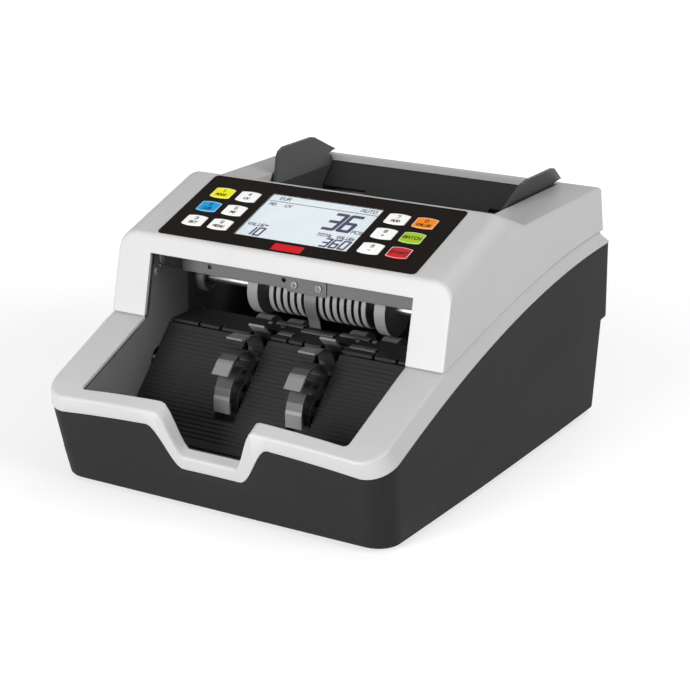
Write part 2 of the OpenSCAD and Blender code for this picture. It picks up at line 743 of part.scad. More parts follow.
frame_in = mouth_hw + 4;
frame_t = 1.5;
frame_out = frame_in + frame_t;
feed_d = crest_d + 30.5;
feed_z = 104;
rail_d = hopper_rear_d - 12;
rail_z = block_z - 32;
supply_l = 62;
supply_h = 36;
supply_rear_d = case_d - rear_set - wall - 26;
motor_d = supply_rear_d - supply_l - motor_r - 4;
motor_z = 45;
bush_r = 7;
frame_rear_d = case_d - 26;
tab_w = 12;
tab_l = 18;
tab_front_d = 84;
tab_front_l = 28;
tab_rear_d = motor_d - motor_r - 4;
module side_frame() {
    difference() {
        across(frame_in, frame_out) polygon([
            [72, deck_z], [frame_rear_d, deck_z], [frame_rear_d, rail_z + 8], [rail_d - 14, rail_z + 8],
            [feed_d + 18, feed_z + 20], [roll_d + 12, upper_z + 30], [roll_d - 30, upper_z + 26],
            [ramp_top_d, frame_foot_z + 6], [72, stack_z + 9]
        ]);
        for (p = [[roll_d, upper_z], [roll_d, lower_z], [stack_d, stack_z], [feed_d, feed_z]])
            rod(bush_r + run_fit, frame_in - 1, frame_out + 1, p[0], p[1]);
        rod(motor_boss_r + slip, frame_in - 1, frame_out + 1, motor_d, motor_z);
        across(frame_in - 1, frame_out + 1) polygon([[120, 16], [160, 16], [160, 40], [120, 40]]);
    }
    box(frame_in - tab_w, frame_in + eps, tab_front_d, tab_front_d + tab_front_l, deck_z, deck_z + frame_t);
    box(frame_in - tab_w, frame_in + eps, tab_rear_d - tab_l, tab_rear_d, deck_z, deck_z + frame_t);
}
module side_frame_left() color(inner_grey) in_case() mirror([1, 0, 0]) side_frame();
module side_frame_right() color(inner_grey) in_case() side_frame();

beam_d = roll_d - 27.5;
beam_t = 1.5;
beam_low_z = upper_z + 11;
beam_h = 21.5;
beam_hole_r = 1.6;
screw_x = 9.2;
screw_mid_x = 1.5;
screw_z = beam_low_z + 3.6;
hole_z = beam_low_z + 5.3;
shelf_z = beam_low_z + 13;
module cross_beam() color(inner_grey) in_case() difference() {
    union() {
        box(-mouth_hw + seam, mouth_hw - seam, beam_d - beam_t, beam_d, beam_low_z, beam_low_z + beam_h);
        box(-mouth_hw + seam, mouth_hw - seam, beam_d - eps, beam_d + 12,
            beam_low_z + beam_h - beam_t, beam_low_z + beam_h);
        box(-mouth_hw + 8, mouth_hw - 8, beam_d - 9, beam_d - beam_t + eps,
            shelf_z, shelf_z + beam_t);
    }
    for (x = [-74.5, -16.5]) translate([x, beam_d - 6, hole_z]) rotate([-90, 0, 0])
        cylinder(r = beam_hole_r, h = 12);
}

head_l = 12;
head_x = mouth_hw - 27.5;
head_low_z = beam_low_z + 1;
module sensor_heads() color([0.1, 0.1, 0.11]) in_case()
    for (x = [-head_x, 0, head_x]) {
        box(x - 6, x + 6, beam_d, beam_d + head_l, head_low_z, head_low_z + 12);
        translate([x, beam_d + head_l / 2, head_low_z - 1.2]) cylinder(r = 3.5, h = 1.3);
    }

screw_head_r = 2.4;
screw_head_h = 1.8;
screw_edge = 5;
module screw_head() {
    difference() {
        cylinder(r = screw_head_r, h = screw_head_h);
        translate([-1.5, -0.4, screw_head_h - 0.9]) cube([3, 0.8, 2]);
        translate([-0.4, -1.5, screw_head_h - 0.9]) cube([0.8, 3, 2]);
    }
}
module screws() color(steel) in_case() {
    for (x = [-screw_x, screw_x]) translate([screw_mid_x + x, beam_d - beam_t, screw_z]) rotate([90, 0, 0]) screw_head();
    for (x = [plate_x0 + screw_edge, plate_x1 - screw_edge]) on_rear()
        translate([x, -seam, plate_z1 - screw_edge]) rotate([-90, 0, 0]) screw_head();
}

bush_flange = 1;
module shaft_bushes() color(bronze) in_case() both_sides()
    for (p = [[roll_d, upper_z], [roll_d, lower_z], [stack_d, stack_z], [feed_d, feed_z]])
        difference() {
            union() {
                rod(bush_r, frame_in, frame_out + eps, p[0], p[1]);
                rod(bush_r + 1.5, frame_out, frame_out + bush_flange, p[0], p[1]);
            }
            rod(shaft_r + run_fit, frame_in - 1, frame_out + 3, p[0], p[1]);
        }

// Two lanes beside each frame hold the pulleys, belts and gears
lane_w = 5;
lane_1 = frame_out + bush_flange + 0.4;
lane_2 = lane_1 + lane_w + 0.6;
lane_end = lane_2 + lane_w;
belt_w = 3;
belt_t = 1.2;
flange_t = 0.8;
flange_r = 1.9;

// Upper transport

gear_m = (upper_z - lower_z) / gear_teeth;
function inv(a) = tan(a) * 180 / PI - a;
pressure = 20;
flank_steps = 4;
function tooth_half(r, rb, teeth, play) =
    90 / teeth - play + inv(pressure) - inv(acos(min(1, rb / r)));
function gear_points(teeth, m, play) =
    let(
        rp = teeth * m / 2,
        rb = rp * cos(pressure),
        rf = rp - 1.3 * m,
        ra = rp + 0.85 * m,
        lo = max(rb, rf),
        radii = [for (k = [0 : flank_steps]) lo + (ra - lo) * k / flank_steps],
        root = tooth_half(lo, rb, teeth, play)
    )
    [for (i = [0 : teeth - 1])
        let(c = 360 * i / teeth)
        each concat(
            rf < lo ? [[rf * cos(c - root), rf * sin(c - root)]] : [],
            [for (r = radii) let(a = c - tooth_half(r, rb, teeth, play)) [r * cos(a), r * sin(a)]],
            [for (k = [flank_steps : -1 : 0])
                let(r = radii[k], a = c + tooth_half(r, rb, teeth, play)) [r * cos(a), r * sin(a)]],
            rf < lo ? [[rf * cos(c + root), rf * sin(c + root)]] : []
        )];
gear_play = 0.75;
module shaft_gear(d, z, turn) {
    difference() {
        translate([0, d, z]) across(lane_2, lane_end) rotate(turn)
            polygon(gear_points(gear_teeth, gear_m, gear_play));
        rod(shaft_r, lane_2 - 1, lane_end + 1, d, z);
    }
}

module shaft(x0, x1, d, z) rod(shaft_r, x0, x1, d, z);
module transport_shaft() color(steel) in_case()
    shaft(-frame_out - bush_flange - 1, lane_end + 0.5, roll_d, upper_z);

flat_x = 48.5;
flat_w = 8;
module roller(r, x, w, d, z, bore) difference() {
    rod(r, x - w / 2, x + w / 2, d, z);
    rod(bore, x - w, x + w, d, z);
}
module flat_rollers() color(light_grey) in_case()
    for (x = [-flat_x, flat_x]) roller(flat_r, x, flat_w, roll_d, upper_z, shaft_r);

ring_n = 7;
ring_w = 3.2;
ring_pitch = 5.4;
ring_start = (ring_pitch - ring_w) / 2;
ring_core_r = ring_r - 4;
module ring_rollers() color(rubber) in_case() both_sides() difference() {
    union() {
        for (k = [0 : ring_n - 1])
            rod(ring_r, ring_start + k * ring_pitch, ring_start + k * ring_pitch + ring_w, roll_d, upper_z);
        rod(ring_core_r, ring_start, ring_start + (ring_n - 1) * ring_pitch + ring_w, roll_d, upper_z);
    }
    rod(shaft_r, 0, 2 * flat_x, roll_d, upper_z);
}

module transport_gear() color(light_grey) in_case() shaft_gear(roll_d, upper_z, 90 + 180 / gear_teeth);

// Lower transport

module drive_shaft() color(steel) in_case() shaft(-lane_end - 0.5, lane_end + 0.5, roll_d, lower_z);
module drive_rollers() color(rubber) in_case()
    for (x = [-flat_x, -drive_x, drive_x, flat_x])
        roller(drive_r, x, drive_w, roll_d, lower_z, shaft_r);

drive_pulley_r = 13;
drive_x = flat_x / 2;
drive_w = 12;
stack_drive_r = 8;
feed_drive_r = 10;
module pulley(r, x0, d, z, bore) difference() {
    union() {
        rod(r, x0, x0 + lane_w, d, z);
        rod(r + flange_r, x0, x0 + flange_t, d, z);
        rod(r + flange_r, x0 + lane_w - flange_t, x0 + lane_w, d, z);
    }
    rod(bore, x0 - 1, x0 + lane_w + 1, d, z);
}
module drive_pulleys() color(light_grey) in_case() {
    shaft_gear(roll_d, lower_z, 90);
    pulley(drive_pulley_r, lane_1, roll_d, lower_z, shaft_r);
    mirror([1, 0, 0]) {
        pulley(stack_drive_r, lane_1, roll_d, lower_z, shaft_r);
        pulley(feed_drive_r, lane_2, roll_d, lower_z, shaft_r);
    }
}

// Stacker

stack_pulley_r = 16;
module stacker_shaft() color(steel) in_case()
    shaft(-lane_1 - lane_w - 0.5, frame_out + bush_flange + 1, stack_d, stack_z);
module stacker_pulley() color(light_grey) in_case()
    mirror([1, 0, 0]) pulley(stack_pulley_r, lane_1, stack_d, stack_z, shaft_r);

vane_n = 8;
vane_t = 1.5;
vane_sweep = 75;
vane_steps = 9;
hub_r = 11;
function vane_mid(t) =
    let(r = hub_r - 2 + (stack_r - hub_r + 2) * t, a = vane_sweep * t * t)
    [r * cos(a), r * sin(a)];
function vane_side(t, off) =
    let(v = vane_mid(t + 0.01) - vane_mid(t - 0.01))
    vane_mid(t) + off * [-v[1], v[0]] / norm(v);
module vane() polygon(concat(
    [for (k = [0 : vane_steps]) vane_side(0.98 * k / vane_steps, vane_t / 2)],
    [for (k = [vane_steps : -1 : 0]) vane_side(0.98 * k / vane_steps, -vane_t / 2)]
));
module stacker_wheel(x) difference() {
    translate([0, stack_d, stack_z]) across(x - stack_w / 2, x + stack_w / 2) {
        circle(hub_r);
        for (k = [0 : vane_n - 1]) rotate(360 * k / vane_n) vane();
    }
    rod(shaft_r, x - stack_w, x + stack_w, stack_d, stack_z);
}
module stacker_wheel_left() color(inner_grey) in_case() stacker_wheel(-wheel_x);
module stacker_wheel_right() color(inner_grey) in_case() stacker_wheel(wheel_x);

// Feed

feed_x = 30;
feed_w = 20;
feed_pulley_r = 10;
module feed_shaft() color(steel) in_case()
    shaft(-lane_end - 0.5, frame_out + bush_flange + 1, feed_d, feed_z);
module feed_rollers() color(rubber) in_case()
    for (x = [-feed_x, feed_x]) roller(feed_r, x, feed_w, feed_d, feed_z, shaft_r);
module feed_pulley() color(light_grey) in_case()
    mirror([1, 0, 0]) pulley(feed_pulley_r, lane_2, feed_d, feed_z, shaft_r);

// Belts

// Loop round two circles, as one closed line
loop_n = 24;
function loop_points(a, ra, b, rb) =
    let(
        v = b - a,
        turn = atan2(v[1], v[0]),
        open = acos((ra - rb) / norm(v))
    )
    concat(
        [for (k = [0 : loop_n])
            let(t = turn + open + (360 - 2 * open) * k / loop_n)
            a + ra * [cos(t), sin(t)]],
        [for (k = [0 : loop_n])
            let(t = turn - open + 2 * open * k / loop_n)
            b + rb * [cos(t), sin(t)]]
    );
module belt(lane, a, ra, b, rb) {
    mid = lane + lane_w / 2;
    across(mid - belt_w / 2, mid + belt_w / 2) difference() {
        polygon(loop_points(a, ra + slip + belt_t, b, rb + slip + belt_t));
        polygon(loop_points(a, ra + slip, b, rb + slip));
    }
}
motor_pulley_r = 6.5;
module drive_belt() color(belt_black) in_case()
    belt(lane_1, [roll_d, lower_z], drive_pulley_r, [motor_d, motor_z], motor_pulley_r);
module side_belts() color(belt_black) in_case() mirror([1, 0, 0]) {
    belt(lane_1, [roll_d, lower_z], stack_drive_r, [stack_d, stack_z], stack_pulley_r);
    belt(lane_2, [roll_d, lower_z], feed_drive_r, [feed_d, feed_z], feed_pulley_r);
}

// Motor

motor_shaft_r = 2.5;
motor_boss_r = 6;
motor_x = frame_in - motor_l;
motor_bore = 12;
module main_motor() color(steel) in_case() difference() {
    union() {
        rod(motor_r, motor_x, frame_in, motor_d, motor_z);
        rod(motor_boss_r, frame_in - 1, frame_out + bush_flange, motor_d, motor_z);
        box(motor_x + 6, frame_in - 6, motor_d - motor_r * 0.7, motor_d + motor_r * 0.7, deck_z, motor_z);
    }
    rod(motor_shaft_r + run_fit, frame_in - motor_bore, frame_out + 9, motor_d, motor_z);
}
module motor_pulley() color(light_grey) in_case() {
    rod(motor_shaft_r, frame_in - motor_bore + 1, lane_1 + lane_w + 1, motor_d, motor_z);
    pulley(motor_pulley_r, lane_1, motor_d, motor_z, motor_shaft_r - eps);
}

// Hopper

bed_t = 2.5;
bed_d0 = feed_d - 10;
bed_z0 = feed_z + 7;
bed_d1 = hopper_rear_d - 36;
bed_z1 = bed_z0 + 12;
bed_d2 = hopper_rear_d - seam;
bed_z2 = block_z - 4;
back_angle = atan2(bed_z2 - bed_z1, bed_d2 - bed_d1);
back_l = norm([bed_d2 - bed_d1, bed_z2 - bed_z1]);
// Frame on the hopper's back rest: y runs up it, z stands off it
module on_back() {
    translate([0, bed_d1, bed_z1]) rotate([back_angle, 0, 0]) children();
}
carriage_y = (rail_d - bed_d1) * cos(back_angle) + (rail_z - bed_z1) * sin(back_angle);
tongue_l = 10;
guide_in = 36;
guide_x = hopper_hw - guide_gap;
module hopper_bed() color(inner_grey) in_case() difference() {
    across(-hopper_hw + seam, hopper_hw - seam) polygon([
        [bed_d0, bed_z0], [bed_d1, bed_z1], [bed_d2, bed_z2],
        [bed_d2, bed_z2 - 1.6 * bed_t], [bed_d1 + 0.6 * bed_t, bed_z1 - bed_t], [bed_d0, bed_z0 - bed_t]
    ]);
    for (x = [-feed_x, feed_x])
        rod(feed_r + slot_gap, x - feed_w / 2 - slot_gap, x + feed_w / 2 + slot_gap, feed_d, feed_z);
    both_sides() on_back() box(guide_x - guide_in - slip, hopper_hw - 1, carriage_y - tongue_l / 2 - slip,
        carriage_y + tongue_l / 2 + slip, -4 * bed_t, 2 * bed_t);
}

front_plate_d = hopper_front_d + 2;
module hopper_front() color(inner_grey) in_case()
    across(-hopper_hw + seam, hopper_hw - seam) polygon([
        [front_plate_d, crest_z - 3], [front_plate_d + bed_t, crest_z - 4],
        [front_plate_d + 2 * bed_t, bed_z0 + 9], [front_plate_d + bed_t, bed_z0 + 8],
        [front_plate_d, bed_z0 + 10]
    ]);

// Guides, racks and pinion

fold_z = block_z - 6;
carriage_r = 7;
pinion_teeth = 16;
pinion_r = 8;
pinion_z = rail_z - 12;
rack_d0 = rail_d - 12;
rack_w = 6;
rack_play = 0.12;
rack_back = 3;
rack_m = 2 * pinion_r / pinion_teeth;
rack_reach = 14;
rack_pitch = PI * rack_m;
rack_k0 = -3;
rack_k1 = floor((guide_x - 2 * carriage_r) / rack_pitch) - 1;

// Rack with its pitch line on z = 0 and its teeth pointing up
module rack() translate([0, rack_d0 + rack_w, 0]) rotate([90, 0, 0]) linear_extrude(rack_w) {
    tip = rack_pitch / 4 - rack_play - 0.85 * rack_m * tan(pressure);
    low = rack_pitch / 4 - rack_play + 1.25 * rack_m * tan(pressure);
    for (k = [rack_k0 : rack_k1])
        let(c = (k + 0.5) * rack_pitch)
        polygon([[c - low, -1.25 * rack_m], [c - tip, 0.85 * rack_m], [c + tip, 0.85 * rack_m],
            [c + low, -1.25 * rack_m]]);
    translate([-rack_reach, -1.25 * rack_m - rack_back])
        square([guide_x + rack_reach, rack_back + eps]);
}

guide_front_d = bed_d1 - 54;
guide_lead = 22;
guide_gap_z = 0.6;
bed_rise = (bed_z1 - bed_z0) / (bed_d1 - bed_d0);
function bed_at(d) = bed_z0 + (d - bed_d0) * bed_rise;
// Section of a guide: an upright plate whose upper part flares outwards
module guide_section() {
    out = tan(guide_flare) * (guide_top_z - fold_z);
    polygon([
        [guide_x, bed_z0 - 20], [guide_x + guide_t, bed_z0 - 20], [guide_x + guide_t, fold_z - 0.5],
        [guide_x + guide_t + out, guide_top_z], [guide_x + out, guide_top_z], [guide_x, fold_z]
    ]);
}
module guide(rack_up) {
    rest = guide_gap_z / cos(back_angle);
    fold_d = bed_d1 - 42;
    rear_d = bed_d2 - 2;
    rear_top_d = block_rear_d - 1;
    intersection() {
        translate([0, case_d, 0]) rotate([90, 0, 0]) linear_extrude(case_d) guide_section();
        across(guide_x - 1, guide_x + 4 * guide_lead) polygon([
            [guide_front_d, bed_at(guide_front_d) + guide_gap_z],
            [bed_d1 - 0.5, bed_z1 + 1.4 * guide_gap_z],
            [rear_d, bed_z2 - 1.8 + 1.4 * rest], [rear_d, block_z + 1.5], [rear_top_d, block_z + 3],
            [rear_top_d - 3, guide_top_z - 11], [rear_top_d - 22, guide_top_z - 0.5],
            [rear_top_d - 25, guide_top_z], [fold_d + guide_lead + 2, guide_top_z],
            [fold_d + guide_lead - 5, guide_top_z - 2], [fold_d + guide_lead - 9, guide_top_z - 5],
            [fold_d, fold_z]
        ]);
    }
    difference() {
        union() {
            on_back() box(guide_x, guide_x + guide_t, carriage_y - tongue_l / 2, carriage_y + tongue_l / 2,
                -14, 2);
            rod(carriage_r, guide_x - 10, guide_x + guide_t, rail_d, rail_z);
            box(guide_x - 10, guide_x - 4, rack_d0, rail_d,
                rack_up > 0 ? pinion_z - pinion_r - 5 : pinion_z + pinion_r + 1, rail_z);
        }
        rod(rail_r + run_fit, guide_x - 20, guide_x + 20, rail_d, rail_z);
    }
    translate([0, 0, pinion_z - rack_up * pinion_r]) scale_z(rack_up) difference() {
        rack();
        box(guide_x - 4, guide_x + 20, rack_d0 - 1, rack_d0 + rack_w + 1, -9, 9);
    }
}
// Turns a rack over so that its teeth point down
module scale_z(up) {
    if (up > 0) children();
    else mirror([0, 0, 1]) children();
}
module guide_right() color(inner_grey) in_case() guide(1);
module guide_left() color(inner_grey) in_case() mirror([1, 0, 0]) guide(-1);

stud_r = 2.5;
stud_gap = 0.6;
module guide_pinion() color(light_grey) in_case()
    translate([0, rack_d0 + rack_w, pinion_z]) rotate([90, 0, 0]) difference() {
        linear_extrude(rack_w) polygon(gear_points(pinion_teeth, rack_m, 0.9));
        translate([0, 0, -1]) cylinder(r = stud_r + run_fit, h = rack_w + 2);
    }

bar_z = pinion_z - 22;
module guide_rail() color(steel) in_case() {
    rod(rail_r, -frame_in, frame_in, rail_d, rail_z);
    box(-frame_in, frame_in, rack_d0 - 6, rack_d0 - stud_gap, bar_z, bar_z + 3);
    box(-6, 6, rack_d0 - 3, rack_d0 - stud_gap, bar_z, pinion_z + 5);
    translate([0, rack_d0 - 1, pinion_z]) rotate([-90, 0, 0]) cylinder(r = stud_r, h = rack_w + 2.5);
}

// Electronics and rear sockets

board_x0 = -frame_in + 5.5;
main_board_w = 100;
board_x1 = board_x0 + main_board_w;
board_z = deck_z + 8;
main_board_l = 66;
module main_board() color(board_green) in_case() {
    d1 = supply_rear_d + 14;
    d0 = d1 - main_board_l;
    box(board_x0, board_x1, d0, d1, board_z, board_z + board_t);
    for (x = [board_x0 + 5, board_x1 - 5], d = [d0 + 5, d1 - 5])
        translate([x, d, deck_z]) cylinder(r = 2.5, h = board_z - deck_z + eps);
    box(board_x0 + 14, board_x0 + 34, d0 + 16, d0 + 36, board_z, board_z + board_t + 3);
    box(board_x0 + 46, board_x0 + 52, d0 + 12, d0 + 52, board_z, board_z + board_t + 18);
    for (k = [0 : 2]) translate([board_x0 + 66 + 11 * k, d0 + 18, board_z]) cylinder(r = 4, h = 16);
    for (k = [0 : 3])
        box(board_x0 + 12 + 20 * k, board_x0 + 25 + 20 * k, d1 - 10, d1 - 3, board_z, board_z + 9);
}

supply_x0 = board_x1 + 12;
supply_x1 = frame_in - 7.5;
vent_step = 7;
vent_n = floor((supply_x1 - supply_x0 - 14) / vent_step);
module power_supply() color(steel) in_case() difference() {
    box(supply_x0, supply_x1, supply_rear_d - supply_l, supply_rear_d, deck_z, deck_z + supply_h);
    for (k = [0 : vent_n - 1]) box(supply_x0 + 8 + vent_step * k, supply_x0 + 11 + vent_step * k,
        supply_rear_d - supply_l + 8, supply_rear_d - 8, deck_z + supply_h - 1.2, deck_z + supply_h + 1);
}

rocker_x = (switch_x0 + switch_x1) / 2;
rocker_z = (port_z0 + port_z1) / 2;
rocker_w = 12.4;
rocker_half = 10;
rocker_axis_y = -4;
rocker_pin_r = 1.5;
rocker_tilt = 8;
inlet_rim = 1.5;
inlet_deep = 18;
module power_inlet() color([0.09, 0.09, 0.095]) in_case() on_rear() {
    xm = (inlet_x0 + inlet_x1) / 2;
    difference() {
        union() {
            box(inlet_x0 + seam, inlet_x1 - seam, -inlet_deep, 0, port_z0 + seam, port_z1 - seam);
            box(inlet_x0 - 1, inlet_x1 + 1, -seam, inlet_rim, port_z0 - 1, port_z1 + 1);
        }
        translate([xm, 0, rocker_z]) rotate([90, 0, 0]) translate([0, 0, -5]) linear_extrude(20)
            polygon([[-12.2, -8], [12.2, -8], [12.2, 3], [7.5, 8], [-7.5, 8], [-12.2, 3]]);
    }
    for (p = [[-7, -2], [0, 2.5], [7, -2]])
        box(xm + p[0] - 1, xm + p[0] + 1, -15 - eps, -5.5, rocker_z + p[1] - 2, rocker_z + p[1] + 2);
    difference() {
        union() {
            box(switch_x0 + seam, switch_x1 - seam, -inlet_deep, 0, port_z0 + seam, port_z1 - seam);
            box(switch_x0 - 1, switch_x1 + 1, -seam, inlet_rim, port_z0 - 1, port_z1 + 1);
        }
        box(rocker_x - rocker_w / 2 - slip, rocker_x + rocker_w / 2 + slip, -12, 5,
            rocker_z - rocker_half - 1.4, rocker_z + rocker_half + 1.4);
        rod(rocker_pin_r + run_fit, rocker_x - rocker_w / 2 - 1.6, rocker_x + rocker_w / 2 + 1.6,
            rocker_axis_y, rocker_z);
    }
}

// Rocker of the switch, tilted to one side of its pivot
module power_switch() color([0.12, 0.12, 0.125]) in_case() on_rear()
    translate([0, rocker_axis_y, rocker_z]) rotate([rocker_tilt, 0, 0]) {
        across(rocker_x - rocker_w / 2, rocker_x + rocker_w / 2) polygon([
            [-4, -4], [1, -rocker_half], [5, -rocker_half], [6.6, 0],
            [5, rocker_half], [1, rocker_half], [-4, 4]
        ]);
        rod(rocker_pin_r, rocker_x - rocker_w / 2 - 1.2, rocker_x + rocker_w / 2 + 1.2, 0, 0);
    }

module display_socket() color([0.1, 0.1, 0.11]) in_case() on_rear() difference() {
    union() {
        box(socket_x0 + seam, socket_x1 - seam, -inlet_deep, 0, port_z0 + seam, socket_z1 - seam);
        box(socket_x0 - 0.8, socket_x1 + 0.8, -seam, 0.8, port_z0 - 0.8, socket_z1 + 0.8);
    }
    box(socket_x0 + 1.8, socket_x1 - 1.8, -11, 5, port_z0 + 2, socket_z1 - 4.5);
    box(socket_x0 + 4, socket_x1 - 4, -11, 5, port_z0 + 2, socket_z1 - 2);
}

base_shell();
surround();
hood();
rear_panel();
feet();
chassis_plate();
control_panel();
lcd_window();
lcd_module();
panel_board();
key_cap([0.95, 0.8, 0.1], 0, 0);  // key_1
key_cap([0.1, 0.45, 0.85], 0, 1);  // key_2
key_cap(white_key, 0, 2);  // key_3
key_cap(white_key, 1, 0);  // key_4
key_cap(white_key, 1, 1);  // key_5
key_cap(white_key, 1, 2);  // key_6
key_cap(white_key, 2, 0);  // key_7
key_cap(white_key, 2, 1);  // key_8
key_cap(white_key, 2, 2);  // key_9
key_cap([0.95, 0.5, 0.08], 3, 0);  // key_0
key_cap([0.5, 0.75, 0.1], 3, 1);  // key_green
key_cap([0.82, 0.12, 0.1], 3, 2);  // key_red
stacker_tray();
ramp();
comb_plate();
side_frame_left();
side_frame_right();
cross_beam();
sensor_heads();
screws();
shaft_bushes();
transport_shaft();
flat_rollers();
ring_rollers();
transport_gear();
drive_shaft();
drive_rollers();
drive_pulleys();
stacker_shaft();
stacker_wheel_left();
stacker_wheel_right();
stacker_pulley();
feed_shaft();
feed_rollers();
feed_pulley();
hopper_bed();
hopper_front();
guide_left();
guide_right();
guide_pinion();
guide_rail();
main_motor();
motor_pulley();
drive_belt();
side_belts();
main_board();
power_supply();
power_inlet();
power_switch();
display_socket();
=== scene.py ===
"""Looks of a desktop banknote counter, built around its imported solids.

The solids stay where they are. This script gives each of them a finish, replaces the moulded
covers by smooth shells, and adds the display, the key legends and the small fittings of the
note path. Lengths in the classes are millimetres; meshes are written in metres.
"""

import logging
import math
from collections.abc import Iterable, Sequence
from dataclasses import dataclass
from enum import Enum

import bmesh
import bpy
import numpy as np
from mathutils import Matrix


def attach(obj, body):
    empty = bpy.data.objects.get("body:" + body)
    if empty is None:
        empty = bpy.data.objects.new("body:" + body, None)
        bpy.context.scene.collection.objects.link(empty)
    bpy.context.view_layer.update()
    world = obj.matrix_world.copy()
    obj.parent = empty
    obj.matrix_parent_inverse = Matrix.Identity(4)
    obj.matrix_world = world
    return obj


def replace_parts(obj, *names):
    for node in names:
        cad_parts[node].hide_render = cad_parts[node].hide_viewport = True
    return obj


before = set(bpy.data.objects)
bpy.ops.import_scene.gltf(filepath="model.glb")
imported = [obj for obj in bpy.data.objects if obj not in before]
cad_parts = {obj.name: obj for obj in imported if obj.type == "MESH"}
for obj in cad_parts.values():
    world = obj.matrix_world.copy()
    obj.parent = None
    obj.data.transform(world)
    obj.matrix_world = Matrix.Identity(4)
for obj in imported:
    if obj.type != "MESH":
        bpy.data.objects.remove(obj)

Array = np.ndarray
Pair = tuple[float, float]
Triple = tuple[float, float, float]
Colour = Triple
Socket = bpy.types.NodeSocket
LOG = logging.getLogger("banknote_counter")
MM = 0.001
MICRONS_PER_M = 1e6
MM_PER_MICRON = 1e-3
# Most values of a noise pattern lie between these two
NOISE_LOW, NOISE_HIGH = 0.3, 0.7
GRAIN_STRENGTH = 0.6
EDGE_SAMPLES = 4
FULL_WHITE = (1.0, 1.0, 1.0, 1.0)


class Body(str, Enum):
    """Body of the frame that new fixed pieces ride on. A key's print rides on the key's own."""

    CHASSIS = "chassis"


class Tint(Enum):
    """Colours of the key caps."""

    WHITE = (0.93, 0.93, 0.92)
    YELLOW = (0.84, 0.82, 0.004)
    BLUE = (0.004, 0.31, 0.68)
    ORANGE = (0.86, 0.235, 0.004)
    GREEN = (0.33, 0.54, 0.008)
    RED = (0.55, 0.01, 0.018)


# Shader nodes


class Nodes:
    """A material's node tree with short ways to add and link nodes."""

    def __init__(self, name: str) -> None:
        """Starts a material of that name whose shader is one Principled BSDF."""
        self.material = bpy.data.materials.new(name)
        self.material.use_nodes = True
        self.tree = self.material.node_tree
        self.tree.nodes.clear()
        self.shader = self.add("ShaderNodeBsdfPrincipled")
        self.out = self.add("ShaderNodeOutputMaterial")
        self.link(self.shader.outputs[0], self.out.inputs["Surface"])

    def add(self, kind: str, **settings: object) -> bpy.types.Node:
        """Adds a node of a kind and sets its properties."""
        node = self.tree.nodes.new(kind)
        for key, value in settings.items():
            setattr(node, key, value)
        return node

    def link(self, source: Socket, target: Socket) -> None:
        """Links an output to an input."""
        self.tree.links.new(source, target)

    def place(
        self, stretch: Triple = (1.0, 1.0, 1.0), shift: Triple = (0.0, 0.0, 0.0)
    ) -> Socket:
        """Gives the object's own coordinates, stretched along its axes and then shifted.

        Args:
            stretch: Factor on each axis.
            shift: Distance along each axis.
        """
        coords = self.add("ShaderNodeTexCoord")
        mapping = self.add("ShaderNodeMapping")
        mapping.inputs["Scale"].default_value = stretch
        mapping.inputs["Location"].default_value = shift
        self.link(coords.outputs["Object"], mapping.inputs["Vector"])
        return mapping.outputs["Vector"]

    def noise(self, place: Socket, scale: float, detail: float = 2.0) -> Socket:
        """Gives a noise pattern.

        Args:
            place: Socket with the coordinates.
            scale: Blobs per metre.
            detail: Octaves of the noise.
        """
        node = self.add("ShaderNodeTexNoise")
        node.inputs["Scale"].default_value = scale
        node.inputs["Detail"].default_value = detail
        self.link(place, node.inputs["Vector"])
        return node.outputs["Fac"]

    def length(self, vector: Socket) -> Socket:
        """Gives a vector's length."""
        node = self.add("ShaderNodeVectorMath", operation="LENGTH")
        self.link(vector, node.inputs[0])
        return node.outputs["Value"]

    def ramp(self, value: Socket, start: float, end: float, low: float, high: float) -> Socket:
        """Maps a value to a range and keeps it there.

        Args:
            value: Socket with the value.
            start: Value that gives the low result.
            end: Value that gives the high result.
            low: Result at the start.
            high: Result at the end.
        """
        node = self.add("ShaderNodeMapRange")
        for socket, number in zip(node.inputs[1:5], (start, end, low, high)):
            socket.default_value = number
        self.link(value, node.inputs["Value"])
        return node.outputs["Result"]

    def spread(self, noise: Socket, low: float, high: float) -> Socket:
        """Maps the middle of a noise pattern's values to a range."""
        return self.ramp(noise, NOISE_LOW, NOISE_HIGH, low, high)

    def blend(self, factor: Socket, first: Colour, second: Colour) -> Socket:
        """Mixes two colours: the first where the factor is 0, the second where it is 1."""
        node = self.add("ShaderNodeMix", data_type="RGBA")
        node.inputs[6].default_value = (*first, 1.0)
        node.inputs[7].default_value = (*second, 1.0)
        self.link(factor, node.inputs[0])
        return node.outputs[2]


# Finishes


